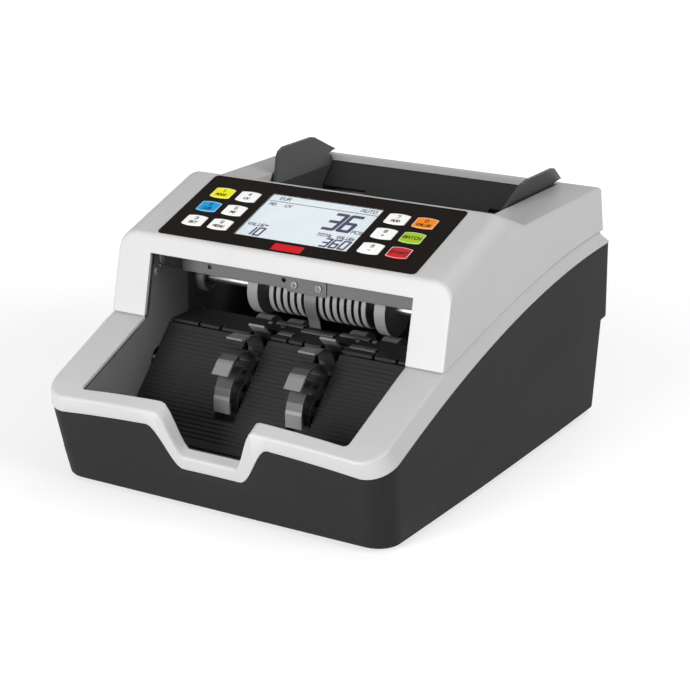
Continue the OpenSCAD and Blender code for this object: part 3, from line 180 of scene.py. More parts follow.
@dataclass(frozen=True)
class Finish:
    """A moulded or painted finish: a colour with drift, grain, gloss and soft edges."""

    name: str
    colour: Colour
    roughness: float = 0.45
    metallic: float = 0.0
    drift: float = 0.03
    drift_scale: float = 22.0
    grain: float = 1500.0
    grain_depth: float = 3e-5
    gloss_drift: float = 0.05
    stretch: Triple = (1.0, 1.0, 1.0)
    edge: float = 0.0006
    specular: float = 0.5

    def shade(self, share: float) -> Colour:
        """Gives the colour made lighter or darker by a share."""
        return tuple(min(1.0, c * (1.0 + share)) for c in self.colour)

    def tone(self, nodes: Nodes) -> Socket:
        """Gives the base colour, which drifts a little over the surface."""
        wide = nodes.noise(nodes.place(), self.drift_scale, detail=3.0)
        share = nodes.spread(wide, 0.0, 1.0)
        return nodes.blend(share, self.shade(-self.drift), self.shade(self.drift))

    def material(self) -> bpy.types.Material:
        """Builds the material once and gives it again on later calls."""
        known = bpy.data.materials.get(self.name)
        if known is not None:
            return known
        nodes = Nodes(self.name)
        shader = nodes.shader
        shader.inputs["Metallic"].default_value = self.metallic
        shader.inputs["Specular IOR Level"].default_value = self.specular
        nodes.link(self.tone(nodes), shader.inputs["Base Color"])
        fine = nodes.noise(nodes.place(self.stretch), self.grain)
        low, high = self.roughness - self.gloss_drift, self.roughness + self.gloss_drift
        nodes.link(nodes.spread(fine, low, high), shader.inputs["Roughness"])
        bump = nodes.add("ShaderNodeBump")
        bump.inputs["Strength"].default_value = GRAIN_STRENGTH
        bump.inputs["Distance"].default_value = self.grain_depth
        nodes.link(fine, bump.inputs["Height"])
        if self.edge > 0.0:
            rounded = nodes.add("ShaderNodeBevel", samples=EDGE_SAMPLES)
            rounded.inputs["Radius"].default_value = self.edge
            nodes.link(rounded.outputs["Normal"], bump.inputs["Normal"])
        nodes.link(bump.outputs["Normal"], shader.inputs["Normal"])
        self.extra(nodes)
        return nodes.material

    def extra(self, nodes: Nodes) -> None:
        """Adds what a special finish has beyond the plain one."""


@dataclass(frozen=True)
class RingFinish(Finish):
    """A wheel's finish whose rim has another colour than its core."""

    rim: Colour = (0.4, 0.41, 0.42)
    centre_y: float = 0.0
    centre_z: float = 0.0
    rim_r: float = 12.0
    rim_fade: float = 0.2

    def tone(self, nodes: Nodes) -> Socket:
        """Gives the core's colour inside the rim's radius about the X axis, else the rim's."""
        flat = nodes.place((0.0, 1.0, 1.0), (0.0, -self.centre_y * MM, -self.centre_z * MM))
        start, end = (self.rim_r - self.rim_fade) * MM, (self.rim_r + self.rim_fade) * MM
        share = nodes.ramp(nodes.length(flat), start, end, 0.0, 1.0)
        return nodes.blend(share, self.colour, self.rim)


@dataclass(frozen=True)
class GlassFinish(Finish):
    """A clear display window, treated so that it hardly mirrors."""

    refraction: float = 1.2

    def extra(self, nodes: Nodes) -> None:
        """Lets light through."""
        nodes.shader.inputs["Transmission Weight"].default_value = 1.0
        nodes.shader.inputs["IOR"].default_value = self.refraction


@dataclass(frozen=True)
class BacklitFinish(Finish):
    """A display face that is lit from behind, a little unevenly."""

    glow: float = 0.56
    patches: float = 30.0
    darker: float = -0.06
    lighter: float = 0.04

    def extra(self, nodes: Nodes) -> None:
        """Adds the backlight, which drifts with the diffuser behind the face."""
        share = nodes.spread(nodes.noise(nodes.place(), self.patches, detail=1.0), 0.0, 1.0)
        tone = nodes.blend(share, self.shade(self.darker), self.shade(self.lighter))
        nodes.link(tone, nodes.shader.inputs["Emission Color"])
        nodes.shader.inputs["Emission Strength"].default_value = self.glow


@dataclass(frozen=True)
class BoardFinish(Finish):
    """A circuit board with copper tracks under its lacquer."""

    tracks_per_m: float = 160.0
    track_w: float = 0.03
    track_l: float = 0.9
    patch_shade: float = -0.12
    track_shade: float = 0.8

    def tone(self, nodes: Nodes) -> Socket:
        """Gives lacquer green with lighter tracks in a brick-like pattern."""
        tracks = nodes.add("ShaderNodeTexBrick")
        tracks.inputs["Scale"].default_value = self.tracks_per_m
        tracks.inputs["Mortar Size"].default_value = self.track_w
        tracks.inputs["Brick Width"].default_value = self.track_l
        tracks.inputs["Color1"].default_value = (*self.colour, 1.0)
        tracks.inputs["Color2"].default_value = (*self.shade(self.patch_shade), 1.0)
        tracks.inputs["Mortar"].default_value = (*self.shade(self.track_shade), 1.0)
        nodes.link(nodes.place(), tracks.inputs["Vector"])
        return tracks.outputs["Color"]


COVER = Finish(
    "cover_satin", (0.475, 0.475, 0.472), 0.45, drift=0.012, grain=1300.0,
    grain_depth=4e-5, edge=0.0009, specular=0.35,
)
BAND = Finish(
    "band_satin", (0.463, 0.463, 0.46), 0.42, drift=0.012, grain=1300.0,
    grain_depth=4e-5, edge=0.0009, specular=0.4,
)
TUB = Finish(
    "tub_grain", (0.0138, 0.0141, 0.0141), 0.62, drift=0.05, grain=1100.0,
    grain_depth=8e-5, edge=0.001, specular=0.14,
)
FILM = Finish(
    "keypad_film", (0.0055, 0.0034, 0.0024), 0.5, drift=0.08, grain=2400.0,
    grain_depth=1e-5, edge=0.0003, specular=0.03,
)
INNER = Finish(
    "inner_matte", (0.019, 0.0192, 0.0195), 0.55, drift=0.06, grain=1200.0,
    grain_depth=6e-5, specular=0.2,
)
# Tray walls and wall fittings: dark plastic painted lighter, as painted light that stands in for
# fill light inside the mouth
WALLS_PAINTED_LIGHT = Finish(
    "tray_satin_painted_light", (0.16, 0.161, 0.163), 0.5, drift=0.05, grain=1100.0,
    grain_depth=6e-5, specular=0.35,
)
GUIDE = Finish("guide_satin", (0.035, 0.0355, 0.0365), 0.42, drift=0.05, specular=0.35)
PAINT = Finish(
    "frame_paint", (0.09, 0.09, 0.092), 0.45, drift=0.06, grain=900.0, grain_depth=4e-5
)
STEEL = Finish(
    "turned_steel", (0.72, 0.72, 0.71), 0.36, metallic=1.0, drift=0.04, grain=260.0,
    grain_depth=4e-6, stretch=(14.0, 1.0, 1.0), edge=0.0003,
)
SCREW = Finish(
    "screw_zinc", (0.3, 0.3, 0.31), 0.3, metallic=1.0, drift=0.08, grain=900.0, grain_depth=1e-5
)
CASING = Finish(
    "casing_metal", (0.5, 0.51, 0.52), 0.38, metallic=1.0, drift=0.06, grain=300.0,
    grain_depth=2e-5, gloss_drift=0.08, stretch=(1.0, 9.0, 1.0),
)
RUBBER = Finish(
    "black_rubber", (0.016, 0.016, 0.016), 0.72, drift=0.1, grain=700.0, grain_depth=8e-5
)
ROLLER = Finish(
    "grey_roller", (0.2, 0.203, 0.207), 0.55, drift=0.06, grain=900.0, grain_depth=7e-5
)
PULLEY = Finish("pulley_plastic", (0.3, 0.305, 0.31), 0.45)
BRONZE = Finish("bush_bronze", (0.5, 0.34, 0.14), 0.36, metallic=1.0, drift=0.1, grain=600.0)
SOCKET = Finish("socket_plastic", (0.016, 0.016, 0.017), 0.4, drift=0.08, grain=1700.0)
RINGS = RingFinish(
    "ring_rubber", (0.02, 0.02, 0.02), 0.55, grain=900.0, grain_depth=6e-5,
    rim=(0.22, 0.223, 0.226), centre_y=-11.0, centre_z=106.5, rim_r=14.4,
)
VANES = RingFinish(
    "vane_plastic", (0.032, 0.0325, 0.0335), 0.42, grain=1200.0, grain_depth=4e-5,
    rim=(0.165, 0.167, 0.17), centre_y=-67.0, centre_z=63.0, rim_r=30.5,
)
WINDOW = GlassFinish(
    "clear_window", (0.97, 0.985, 1.0), 0.06, drift=0.01, grain_depth=2e-6,
    gloss_drift=0.02, edge=0.0,
)
BACKLIGHT = BacklitFinish("display_face", (0.43, 0.46, 0.475), 0.5, drift=0.02, edge=0.0)
LCD_INK = Finish("display_ink", (0.006, 0.011, 0.06), 0.5, drift=0.05, edge=0.0, specular=0.1)
MODULE = Finish("module_frame", (0.25, 0.26, 0.275), 0.5)
KEY_INK = Finish("legend_ink", (0.008, 0.008, 0.009), 0.5, drift=0.08, edge=0.0, specular=0.1)
RIM_INK = Finish("rim_ink", (0.78, 0.78, 0.77), 0.45, drift=0.02, edge=0.0)
PLAIN_RED = Finish(
    "plain_bar_red", (0.58, 0.008, 0.016), 0.5, drift=0.05, grain=1800.0,
    grain_depth=2e-5, edge=0.0003, specular=0.1,
)
BOARD = BoardFinish("board_lacquer", (0.015, 0.12, 0.05), 0.4)


# Shapes


@dataclass
class Surface:
    """Points and faces of a shape in millimetres."""

    points: Array
    faces: Array

    def at(self, place: "Place") -> "Surface":
        """Gives the same shape moved into the part's frame."""
        return Surface(place.to_part(self.points), self.faces)


@dataclass(frozen=True)
class Place:
    """A local frame: its origin, and its slope about the X axis in degrees."""

    origin: Triple = (0.0, 0.0, 0.0)
    slope: float = 0.0

    def to_part(self, points: Array) -> Array:
        """Turns local points about the X axis by the slope and adds the origin to them."""
        c, s = math.cos(math.radians(self.slope)), math.sin(math.radians(self.slope))
        turn = np.array([[1.0, 0.0, 0.0], [0.0, c, -s], [0.0, s, c]])
        return points @ turn.T + np.array(self.origin)


# Frame of the case: y counts from the tray's lip and z from the tub's underside
CASE = Place((0.0, -159.0, 3.0))


def grid_faces(
    rows: int, columns: int, wrap_rows: bool = False, wrap_columns: bool = False
) -> Array:
    """Gives the quads of a grid of points.

    Args:
        rows: Number of rows.
        columns: Number of columns.
        wrap_rows: Whether the last row joins the first.
        wrap_columns: Whether the last column joins the first.
    """
    row_steps = np.arange(rows if wrap_rows else rows - 1)
    column_steps = np.arange(columns if wrap_columns else columns - 1)
    r, c = np.meshgrid(row_steps, column_steps, indexing="ij")
    r2, c2 = (r + 1) % rows, (c + 1) % columns
    corners = [r * columns + c, r * columns + c2, r2 * columns + c2, r2 * columns + c]
    return np.stack(corners, axis=-1).reshape(-1, 4)


def stack(shapes: Sequence[Surface]) -> Surface:
    """Puts several shapes of quads into one."""
    starts = np.cumsum([0] + [len(s.points) for s in shapes[:-1]])
    faces = np.concatenate([s.faces + k for s, k in zip(shapes, starts)])
    return Surface(np.concatenate([s.points for s in shapes]), faces)


BOX_QUADS = np.array(
    [[0, 3, 2, 1], [4, 5, 6, 7], [0, 1, 5, 4], [1, 2, 6, 5], [2, 3, 7, 6], [3, 0, 4, 7]]
)


def strokes(lines: Array, width: float, low: float, high: float) -> Surface:
    """Makes straight strokes of ink.

    Each line from a to b becomes a box: half the width is laid off to both sides of it and beyond
    both its ends, and the box stands from the low to the high level.

    Args:
        lines: One row per stroke with x and y of its start and of its end.
        width: Width of a stroke.
        low: Lower level of the ink.
        high: Upper level of the ink.
    """
    start, end = lines[:, :2], lines[:, 2:]
    along = end - start
    along = along / np.linalg.norm(along, axis=1, keepdims=True) * width / 2
    side = np.stack([-along[:, 1], along[:, 0]], axis=1)
    first, last = start - along, end + along
    ring = np.stack([first - side, last - side, last + side, first + side], axis=1)
    flat = np.concatenate([ring, ring], axis=1)
    level = np.broadcast_to(np.repeat([low, high], ring.shape[1]), flat.shape[:2])
    points = np.concatenate([flat, level[..., None]], axis=2).reshape(-1, 3)
    starts = np.arange(len(lines)) * flat.shape[1]
    return Surface(points, (starts[:, None, None] + BOX_QUADS).reshape(-1, 4))


def slab(width: float, length: float, low: float, high: float) -> Surface:
    """Makes a flat box in the middle of its frame, as one thick stroke.

    Args:
        width: Size across, more than the length.
        length: Size up the frame.
        low: Lower level.
        high: Upper level.
    """
    reach = (width - length) / 2
    return strokes(np.array([[-reach, 0.0, reach, 0.0]]), length, low, high)


def sweep(path: Array, normals: Array, width: float, thick: float, x: float) -> Surface:
    """Carries a flat strip along a path in the plane of distance and height.

    Every station of the path has four corners: half the width to both sides in x, and the
    thickness laid off along the station's normal. The ends are closed.

    Args:
        path: Distance and height of the stations.
        normals: Unit normal of each station in that plane.
        width: Width of the strip.
        thick: Thickness of the strip.
        x: Middle of the strip in x.
    """
    n = len(path)
    outer = path + normals * thick
    left, right = np.full((n, 1), x - width / 2), np.full((n, 1), x + width / 2)
    corners = [(left, path), (right, path), (right, outer), (left, outer)]
    rings = np.stack([np.hstack(corner) for corner in corners], axis=1)
    ends = np.array([[0, 1, 2, 3], [4 * n - 1, 4 * n - 2, 4 * n - 3, 4 * n - 4]])
    faces = np.concatenate([grid_faces(n, len(corners), wrap_columns=True), ends])
    return Surface(rings.reshape(-1, 3), faces)


def turned(profile: Array, d: float, z: float, steps: int = 48) -> Surface:
    """Turns a profile about a line along x.

    A profile point of position x and radius r becomes a circle of that radius about the line.

    Args:
        profile: Closed row of x and r.
        d: Distance of the line behind the lip.
        z: Height of the line.
        steps: Points on a circle.
    """
    angle = np.linspace(0.0, 2 * math.pi, steps, endpoint=False)[:, None]
    x = np.broadcast_to(profile[:, 0], (steps, len(profile)))
    y, height = d + profile[:, 1] * np.cos(angle), z + profile[:, 1] * np.sin(angle)
    points = np.stack([x, y, height], axis=2)
    return Surface(points.reshape(-1, 3), grid_faces(steps, len(profile), True, True))


def barrel(width: float, length: float, bulge: float, inset: float, steps: int = 12) -> Array:
    """Gives a key's outline, counter-clockwise: two straight sides and two bulged long edges.

    A long edge is an arc through its two ends that rises by the bulge at its middle, so that
    y = length/2 - r + sqrt(r^2 - x^2) with r = (width^2/4 + bulge^2) / (2 bulge).

    Args:
        width: Width of the key.
        length: Length of the key at its middle.
        bulge: Rise of a long edge.
        inset: Distance by which the outline is drawn in.
        steps: Points on a long edge.
    """
    r = (width * width / 4 + bulge * bulge) / (2 * bulge)
    x = np.linspace(width / 2 - inset, -width / 2 + inset, steps)
    y = length / 2 - inset - r + np.sqrt(r * r - x * x)
    return np.concatenate([np.stack([x, y], 1), np.stack([-x, -y], 1)])


# Pieces


def make_piece(
    name: str,
    shape: Surface,
    body: Body | str,
    finish: Finish,
    slot: str,
    smooth: float = 30.0,
) -> bpy.types.Object:
    """Writes a shape into a mesh, gives it its finish and lets it ride on a body.

    Args:
        name: Name of the piece.
        shape: Points in the part's frame in millimetres, and faces.
        body: Body that the piece moves with.
        finish: Finish of the piece.
        slot: Name of a material slot of the record; not used.
        smooth: Angle in degrees under which neighbouring faces are shaded as one.

    Returns:
        The new object, at the origin and unturned.
    """
    mesh = bpy.data.meshes.new(name)
    mesh.from_pydata((shape.points * MM).tolist(), [], shape.faces.tolist())
    work = bmesh.new()
    work.from_mesh(mesh)
    bmesh.ops.recalc_face_normals(work, faces=work.faces)
    work.to_mesh(mesh)
    work.free()
    shade(mesh, smooth)
    piece = bpy.data.objects.new(name, mesh)
    bpy.context.scene.collection.objects.link(piece)
    mesh.materials.append(finish.material())
    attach(piece, body.value if isinstance(body, Body) else body)
    return piece


def shade(mesh: bpy.types.Mesh, angle: float) -> None:
    """Shades a mesh smooth, with sharp edges where faces meet at more than the angle."""
    mesh.polygons.foreach_set("use_smooth", np.ones(len(mesh.polygons), dtype=bool))
    mesh.set_sharp_from_angle(angle=math.radians(angle))


def dress(names: Iterable[str], finish: Finish) -> None:
    """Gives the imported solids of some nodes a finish."""
    for name in names:
        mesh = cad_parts[name].data
        mesh.materials.clear()
        mesh.materials.append(finish.material())
        LOG.info("solid %s: %s", name, finish.name)


@dataclass
class SmoothShell:
    """A moulded cover, made from its solid's own facets with soft edges and smooth shading."""

    node: str
    finish: Finish
    slot: str
    smooth: float = 50.0
    flat: float = 0.4
    edge: float = 0.8
    edge_steps: int = 2

    def merged(self) -> Surface:
        """Gives the solid's facets with the points at one place merged.

        Points are rounded to a micrometre, equal ones become one, and facets that lose a corner
        are dropped.
        """
        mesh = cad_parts[self.node].data
        mesh.calc_loop_triangles()
        points = np.empty(3 * len(mesh.vertices), dtype=np.float32)
        facets = np.empty(3 * len(mesh.loop_triangles), dtype=np.int32)
        mesh.vertices.foreach_get("co", points)
        mesh.loop_triangles.foreach_get("vertices", facets)
        rounded = np.round(points.reshape(-1, 3).astype(float) * MICRONS_PER_M).astype(np.int64)
        unique, index = np.unique(rounded, axis=0, return_inverse=True)
        facets = index.reshape(-1)[facets].reshape(-1, 3)
        a, b, c = facets.T
        return Surface(unique * MM_PER_MICRON, facets[(a != b) & (b != c) & (c != a)])

    def build(self) -> bpy.types.Object:
        """Makes the shell, joins its flat facets, rounds its edges and replaces the solid."""
        name = self.node + "_shell"
        piece = make_piece(
            name, self.merged(), Body.CHASSIS, self.finish, self.slot, self.smooth
        )
        work = bmesh.new()
        work.from_mesh(piece.data)
        bmesh.ops.dissolve_limit(
            work, angle_limit=math.radians(self.flat), verts=work.verts, edges=work.edges
        )
        work.to_mesh(piece.data)
        work.free()
        shade(piece.data, self.smooth)
        bevel = piece.modifiers.new("soft_edge", "BEVEL")
        bevel.width, bevel.segments = self.edge * MM, self.edge_steps
        bevel.limit_method, bevel.angle_limit = "ANGLE", math.radians(self.smooth)
        bevel.harden_normals = True
        weighted = piece.modifiers.new("even_normals", "WEIGHTED_NORMAL")
        weighted.keep_sharp = True
        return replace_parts(piece, self.node)


# Sub-assemblies


@dataclass
class Case:
    """The dark tub, the pale band and the hood, with the rear plate and the feet."""

    def build(self) -> None:
        """Replaces the moulded covers by smooth shells."""
        SmoothShell("base_shell", TUB, "tub").build()
        SmoothShell("surround", BAND, "cover").build()
        SmoothShell("hood", COVER, "cover").build()

    def dress(self) -> None:
        """Gives the other case parts their finishes."""
        dress(["rear_panel"], TUB)
        dress(["feet"], RUBBER)
        dress(["chassis_plate"], CASING)


# Strokes of each letter on a grid of four by six: points as column and row, strokes apart by ";"
GLYPHS = {
    "A": "00 04 26 44 40;02 42", "B": "00 06 36 45 44 33 03;33 42 41 30 00",
    "C": "45 36 16 05 01 10 30 41", "D": "00 06 26 44 42 20 00",
    "E": "40 00 06 46;03 33", "G": "45 36 16 05 01 10 30 41 43 23",
    "H": "00 06;40 46;03 43", "L": "06 00 40", "M": "00 06 23 46 40", "N": "00 06 40 46",
    "O": "10 01 05 16 36 45 41 30 10", "P": "00 06 36 45 44 33 03",
    "R": "00 06 36 45 44 33 03;23 40", "S": "45 36 16 05 04 13 33 42 41 30 10 01",
    "T": "06 46;26 20", "U": "06 01 10 30 41 46", "V": "06 20 46",
    "+": "03 43;21 25", "-": "03 43", "0": "10 01 05 16 36 45 41 30 10", "1": "15 26 20",
    "2": "05 16 36 45 44 00 40", "3": "05 16 36 45 44 33 13;33 42 41 30 10 01",
    "4": "30 36 02 42", "5": "46 06 03 33 42 41 30 10 01",
    "6": "45 36 16 05 01 10 30 41 42 33 03", "7": "06 46 20",
    "8": "13 04 05 16 36 45 44 33 13 02 01 10 30 41 42 33",
    "9": "01 10 30 41 45 36 16 05 04 13 43",
}
GLYPH_SIZE = np.array([4.0, 6.0])
GLYPH_STEP = 5.6
# Ends of a digit's segments on a frame of one by two, and the segments that each digit lights
SEGMENTS = {
    "a": (0, 2, 1, 2), "b": (1, 1, 1, 2), "c": (1, 0, 1, 1), "d": (0, 0, 1, 0),
    "e": (0, 0, 0, 1), "f": (0, 1, 0, 2), "g": (0, 1, 1, 1),
}
LIT = {"0": "abcdef", "1": "bc", "3": "abcdg", "6": "acdefg"}
SEGMENT_GAP = 0.22


def written(text: str, x: float, y: float, height: float, spread: float = 1.0) -> Array:
    """Sets a word in plain stroke letters, centred on a point.

    Every letter is drawn on a grid of four by six; its strokes are scaled to the height.

    Args:
        text: The word.
        x: Middle of the word.
        y: Middle of the word's height.
        height: Height of the letters.
        spread: Factor on the letters' width.

    Returns:
        One row per stroke with x and y of its start and end.
    """
    unit = height / GLYPH_SIZE[1]
    step = GLYPH_STEP * unit * spread
    rows = []
    for k, letter in enumerate(text):
        for part in GLYPHS.get(letter, "").split(";"):
            marks = np.array([[int(c) for c in mark] for mark in part.split()], dtype=float)
            marks = (marks.reshape(-1, 2) - GLYPH_SIZE / 2) * [unit * spread, unit]
            marks += [x + (k - (len(text) - 1) / 2) * step, y]
            rows.append(np.hstack([marks[:-1], marks[1:]]))
    return np.concatenate(rows)


def counted(
    text: str, x: float, y: float, width: float, height: float, step: float, lean: float = 0.12
) -> Array:
    """Sets a number in seven-segment digits.

    A digit's segments lie on a frame of one by two; each is shortened at both ends, and the digit
    leans by a share of its height.

    Args:
        text: The number.
        x: Middle of the number.
        y: Middle of its height.
        width: Width of a digit.
        height: Height of a digit.
        step: Distance between digits.
        lean: Sideways lean per height.

    Returns:
        One row per lit segment with x and y of its start and end.
    """
    rows = []
    for k, digit in enumerate(text):
        bars = np.array([SEGMENTS[s] for s in LIT[digit]], dtype=float).reshape(-1, 2, 2)
        bars = bars + (bars.mean(axis=1, keepdims=True) - bars) * SEGMENT_GAP
        bars = (bars - [0.5, 1.0]) * [width, height / 2]
        bars[..., 0] += x + (k - (len(text) - 1) / 2) * step + lean * bars[..., 1]
        bars[..., 1] += y
        rows.append(bars.reshape(-1, 4))
    return np.concatenate(rows)


@dataclass(frozen=True)
class Key:
    """One key of the keypad: its node, tint, place, number and word."""

    node: str
    tint: Tint
    column: int
    row: int
    number: str
    word: str

    def finish(self) -> Finish:
        """Gives the cap's finish."""
        name = "cap_" + self.tint.name.lower()
        return Finish(
            name, self.tint.value, 0.42, drift=0.02, grain=1900.0, edge=0.0004, specular=0.12
        )

    def slot(self) -> str:
        """Gives the record's slot of the cap."""
        return "key_" + self.tint.name.lower()


@dataclass(frozen=True)
class Word:
    """A word on the display: its text, its place in shares across and down, and its letters."""

    text: str
    across: float
    down: float
    height: float
    spread: float = 1.0


@dataclass(frozen=True)
class Count:
    """A number on the display: its digits, its place in shares, and the digits' size and step."""

    text: str
    across: float
    down: float
    width: float
    height: float
    step: float


@dataclass
class Keypad:
    """The sloping keypad with its display, keys and legends.

    Sizes end in _w, _l and _h, and pairs of levels above a surface end in _levels.
    """

    slope: float = 18.9
    origin: Triple = (0.0, -71.04, 149.42)
    start: float = 2.8
    columns: tuple[float, ...] = (-77.55, -57.45, 55.0, 75.1)
    rows: tuple[float, ...] = (53.0, 35.7, 18.4)
    key_w: float = 15.0
    key_l: float = 11.8
    bulge: float = 1.1
    key_top: float = 0.8
    lcd_x: float = -0.85
    lcd_y: float = 36.6
    lcd_w: float = 83.7
    lcd_l: float = 50.4
    face_z: float = -0.595
    face_inset: float = 0.4
    face_levels: Pair = (0.0, 0.03)
    mark_levels: Pair = (0.05, 0.09)
    word_w: float = 0.58
    arrow_w: float = 0.7
    small_w: float = 1.5
    large_w: float = 2.9
    # Line under the display's first row: start, end and distance down, in shares
    rule: Triple = (0.02, 0.985, 0.152)
    words: tuple[Word, ...] = (
        Word("EUR", 0.135, 0.075, 3.0), Word("AUTO", 0.89, 0.075, 3.2),
        Word("MG", 0.07, 0.222, 3.0), Word("UV", 0.215, 0.222, 3.0),
        Word("PCS", 0.945, 0.565, 2.9), Word("VALUE", 0.1, 0.715, 2.9),
        Word("TOTAL VALUE", 0.805, 0.716, 3.0, 0.86),
    )
    arrows: tuple[Pair, ...] = ((0.195, 0.71), (0.965, 0.725))
    arrow_rows: tuple[float, ...] = (0.45, 0.0, -0.45)
    arrow_reach: tuple[float, ...] = (0.9, 0.5, 0.1)
    small: tuple[Count, ...] = (
        Count("10", 0.14, 0.86, 4.2, 8.2, 6.6), Count("360", 0.858, 0.865, 4.4, 8.6, 6.7),
    )
    large: tuple[Count, ...] = (Count("36", 0.768, 0.405, 7.6, 17.2, 11.2),)
    print_levels: Pair = (0.01, 0.05)
    print_w: float = 0.55
    number_y: float = 2.5
    number_h: float = 2.8
    word_y: float = -2.2
    word_h: float = 2.2
    lone_word_h: float = 2.7
    word_spread: float = 1.05
    rim_insets: Pair = (0.1, 0.42)
    bar_place: Triple = (2.2, 4.7, 0.4)
    bar_size: Triple = (21.8, 7.0, 0.25)
    keys: tuple[Key, ...] = (
        Key("key_1", Tint.YELLOW, 0, 0, "1", "MODE"),
        Key("key_2", Tint.BLUE, 0, 1, "2", "CUR"),
        Key("key_3", Tint.WHITE, 0, 2, "3", "SET"),
        Key("key_4", Tint.WHITE, 1, 0, "4", "UV"),
        Key("key_5", Tint.WHITE, 1, 1, "5", "MG"),
        Key("key_6", Tint.WHITE, 1, 2, "6", "MENU"),
        Key("key_7", Tint.WHITE, 2, 0, "7", "ADD"),
        Key("key_8", Tint.WHITE, 2, 1, "8", "+"),
        Key("key_9", Tint.WHITE, 2, 2, "9", "-"),
        Key("key_0", Tint.ORANGE, 3, 0, "0", "VALUE"),
        Key("key_green", Tint.GREEN, 3, 1, "", "BATCH"),
        Key("key_red", Tint.RED, 3, 2, "", "START"),
    )

    def place(self, x: float, y: float, z: float) -> Place:
        """Gives a frame on the console whose middle is x across, y up the plate and z off it."""
        c, s = math.cos(math.radians(self.slope)), math.sin(math.radians(self.slope))
        up = self.start + y
        back, height = self.origin[1] + up * c - z * s, self.origin[2] + up * s + z * c
        return Place((x, back, height), self.slope)

    def on_key(self, key: Key) -> Place:
        """Gives a frame on the middle of a key's top."""
        return self.place(self.columns[key.column], self.rows[key.row], self.key_top)

    def on_display(self, u: float, v: float) -> Pair:
        """Gives x and y on the display from shares across and down it."""
        return (u - 0.5) * self.lcd_w, (0.5 - v) * self.lcd_l

    def build(self) -> None:
        """Makes the display's face and marks, the legends, the rims and the plain bar."""
        self.build_display()
        for key in self.keys:
            self.build_legend(key)
            if key.tint is not Tint.WHITE:
                self.build_rim(key)
        self.build_bar()

    def build_display(self) -> None:
        """Makes the lit face, a sheet that is a hair thick, and the marks on it."""
        place = self.place(self.lcd_x, self.lcd_y, self.face_z)
        face = slab(
            self.lcd_w - 2 * self.face_inset, self.lcd_l - 2 * self.face_inset, *self.face_levels
        )
        make_piece("display_face", face.at(place), Body.CHASSIS, BACKLIGHT, "module")
        left, right, down = self.rule
        fine = [
            written(w.text, *self.on_display(w.across, w.down), w.height, w.spread)
            for w in self.words
        ]
        fine.append(np.array([[*self.on_display(left, down), *self.on_display(right, down)]]))
        layers = (
            (fine, self.word_w),
            ([self.arrow(*self.on_display(u, v)) for u, v in self.arrows], self.arrow_w),
            (self.digits(self.small), self.small_w),
            (self.digits(self.large), self.large_w),
        )
        ink = stack([strokes(np.concatenate(rows), w, *self.mark_levels) for rows, w in layers])
        make_piece("display_marks", ink.at(place), Body.CHASSIS, LCD_INK, "module")

    def digits(self, counts: Sequence[Count]) -> list[Array]:
        """Gives the lit segments of some numbers on the display."""
        return [
            counted(n.text, *self.on_display(n.across, n.down), n.width, n.height, n.step)
            for n in counts
        ]

    def arrow(self, x: float, y: float) -> Array:
        """Gives a small arrow that points down, as three strokes of falling length."""
        level, reach = np.array(self.arrow_rows), np.array(self.arrow_reach)
        return np.stack([x - reach, y + level, x + reach, y + level], axis=1)

    def build_legend(self, key: Key) -> None:
        """Makes a key's printed number and word, or its word alone."""
        if key.number:
            rows = [
                written(key.number, 0.0, self.number_y, self.number_h),
                written(key.word, 0.0, self.word_y, self.word_h, self.word_spread),
            ]
        else:
            rows = [written(key.word, 0.0, 0.0, self.lone_word_h, self.word_spread)]
        ink = strokes(np.concatenate(rows), self.print_w, *self.print_levels)
        legend = ink.at(self.on_key(key))
        make_piece(key.node + "_legend", legend, key.node, KEY_INK, key.slot())

    def build_rim(self, key: Key) -> None:
        """Makes the thin pale outline of a coloured key.

        Four outlines are joined to a ring: the outer and the inner one, at the lower and upper
        level of the ink.
        """
        outer, inner = (
            barrel(self.key_w, self.key_l, self.bulge, inset) for inset in self.rim_insets
        )
        low, high = self.print_levels
        loops = [(outer, low), (outer, high), (inner, high), (inner, low)]
        points = np.stack([np.column_stack([loop, np.full(len(loop), z)]) for loop, z in loops])
        ring = Surface(points.reshape(-1, 3), grid_faces(len(loops), len(outer), True, True))
        rim = ring.at(self.on_key(key))
        make_piece(key.node + "_rim", rim, key.node, RIM_INK, key.slot())

    def build_bar(self) -> None:
        """Makes the plain bar under the display."""
        width, length, height = self.bar_size
        bar = slab(width, length, 0.0, height).at(self.place(*self.bar_place))
        make_piece("plain_bar", bar, Body.CHASSIS, PLAIN_RED, "keypad")

    def dress(self) -> None:
        """Gives the keypad's solids their finishes."""
        dress(["control_panel"], FILM)
        dress(["lcd_window"], WINDOW)
        dress(["lcd_module"], MODULE)
        dress(["panel_board"], BOARD)
        for key in self.keys:
            dress([key.node], key.finish())


# Profiles of turned pieces, each as x along the axis and radius
CUP = np.array([
    [-101.3, 4.4], [-101.3, 11.0], [-94.4, 10.4], [-93.4, 9.6],
    [-93.4, 7.6], [-96.4, 7.0], [-96.4, 4.4],
])
HEAD = np.array([[-0.3, 0.6], [-0.3, 2.9], [1.5, 2.9], [1.9, 2.5], [1.9, 0.6]])
BOSS = np.array([[-0.3, 1.6], [-0.3, 4.6], [1.0, 4.4], [1.4, 4.0], [1.4, 1.6]])
EYELET = np.array([[-0.3, 0.4], [-0.3, 1.9], [0.5, 1.8], [0.9, 1.4], [1.1, 0.9], [0.9, 0.4]])
# Rise of a tab above its plate, and the directions of its thickness
TAB_PATH = np.array([[0.0, 0.02], [0.8, 0.7], [4.8, 0.7]])
TAB_UP = np.array([[-0.7, 0.7], [-0.2, 1.0], [0.0, 1.0]])


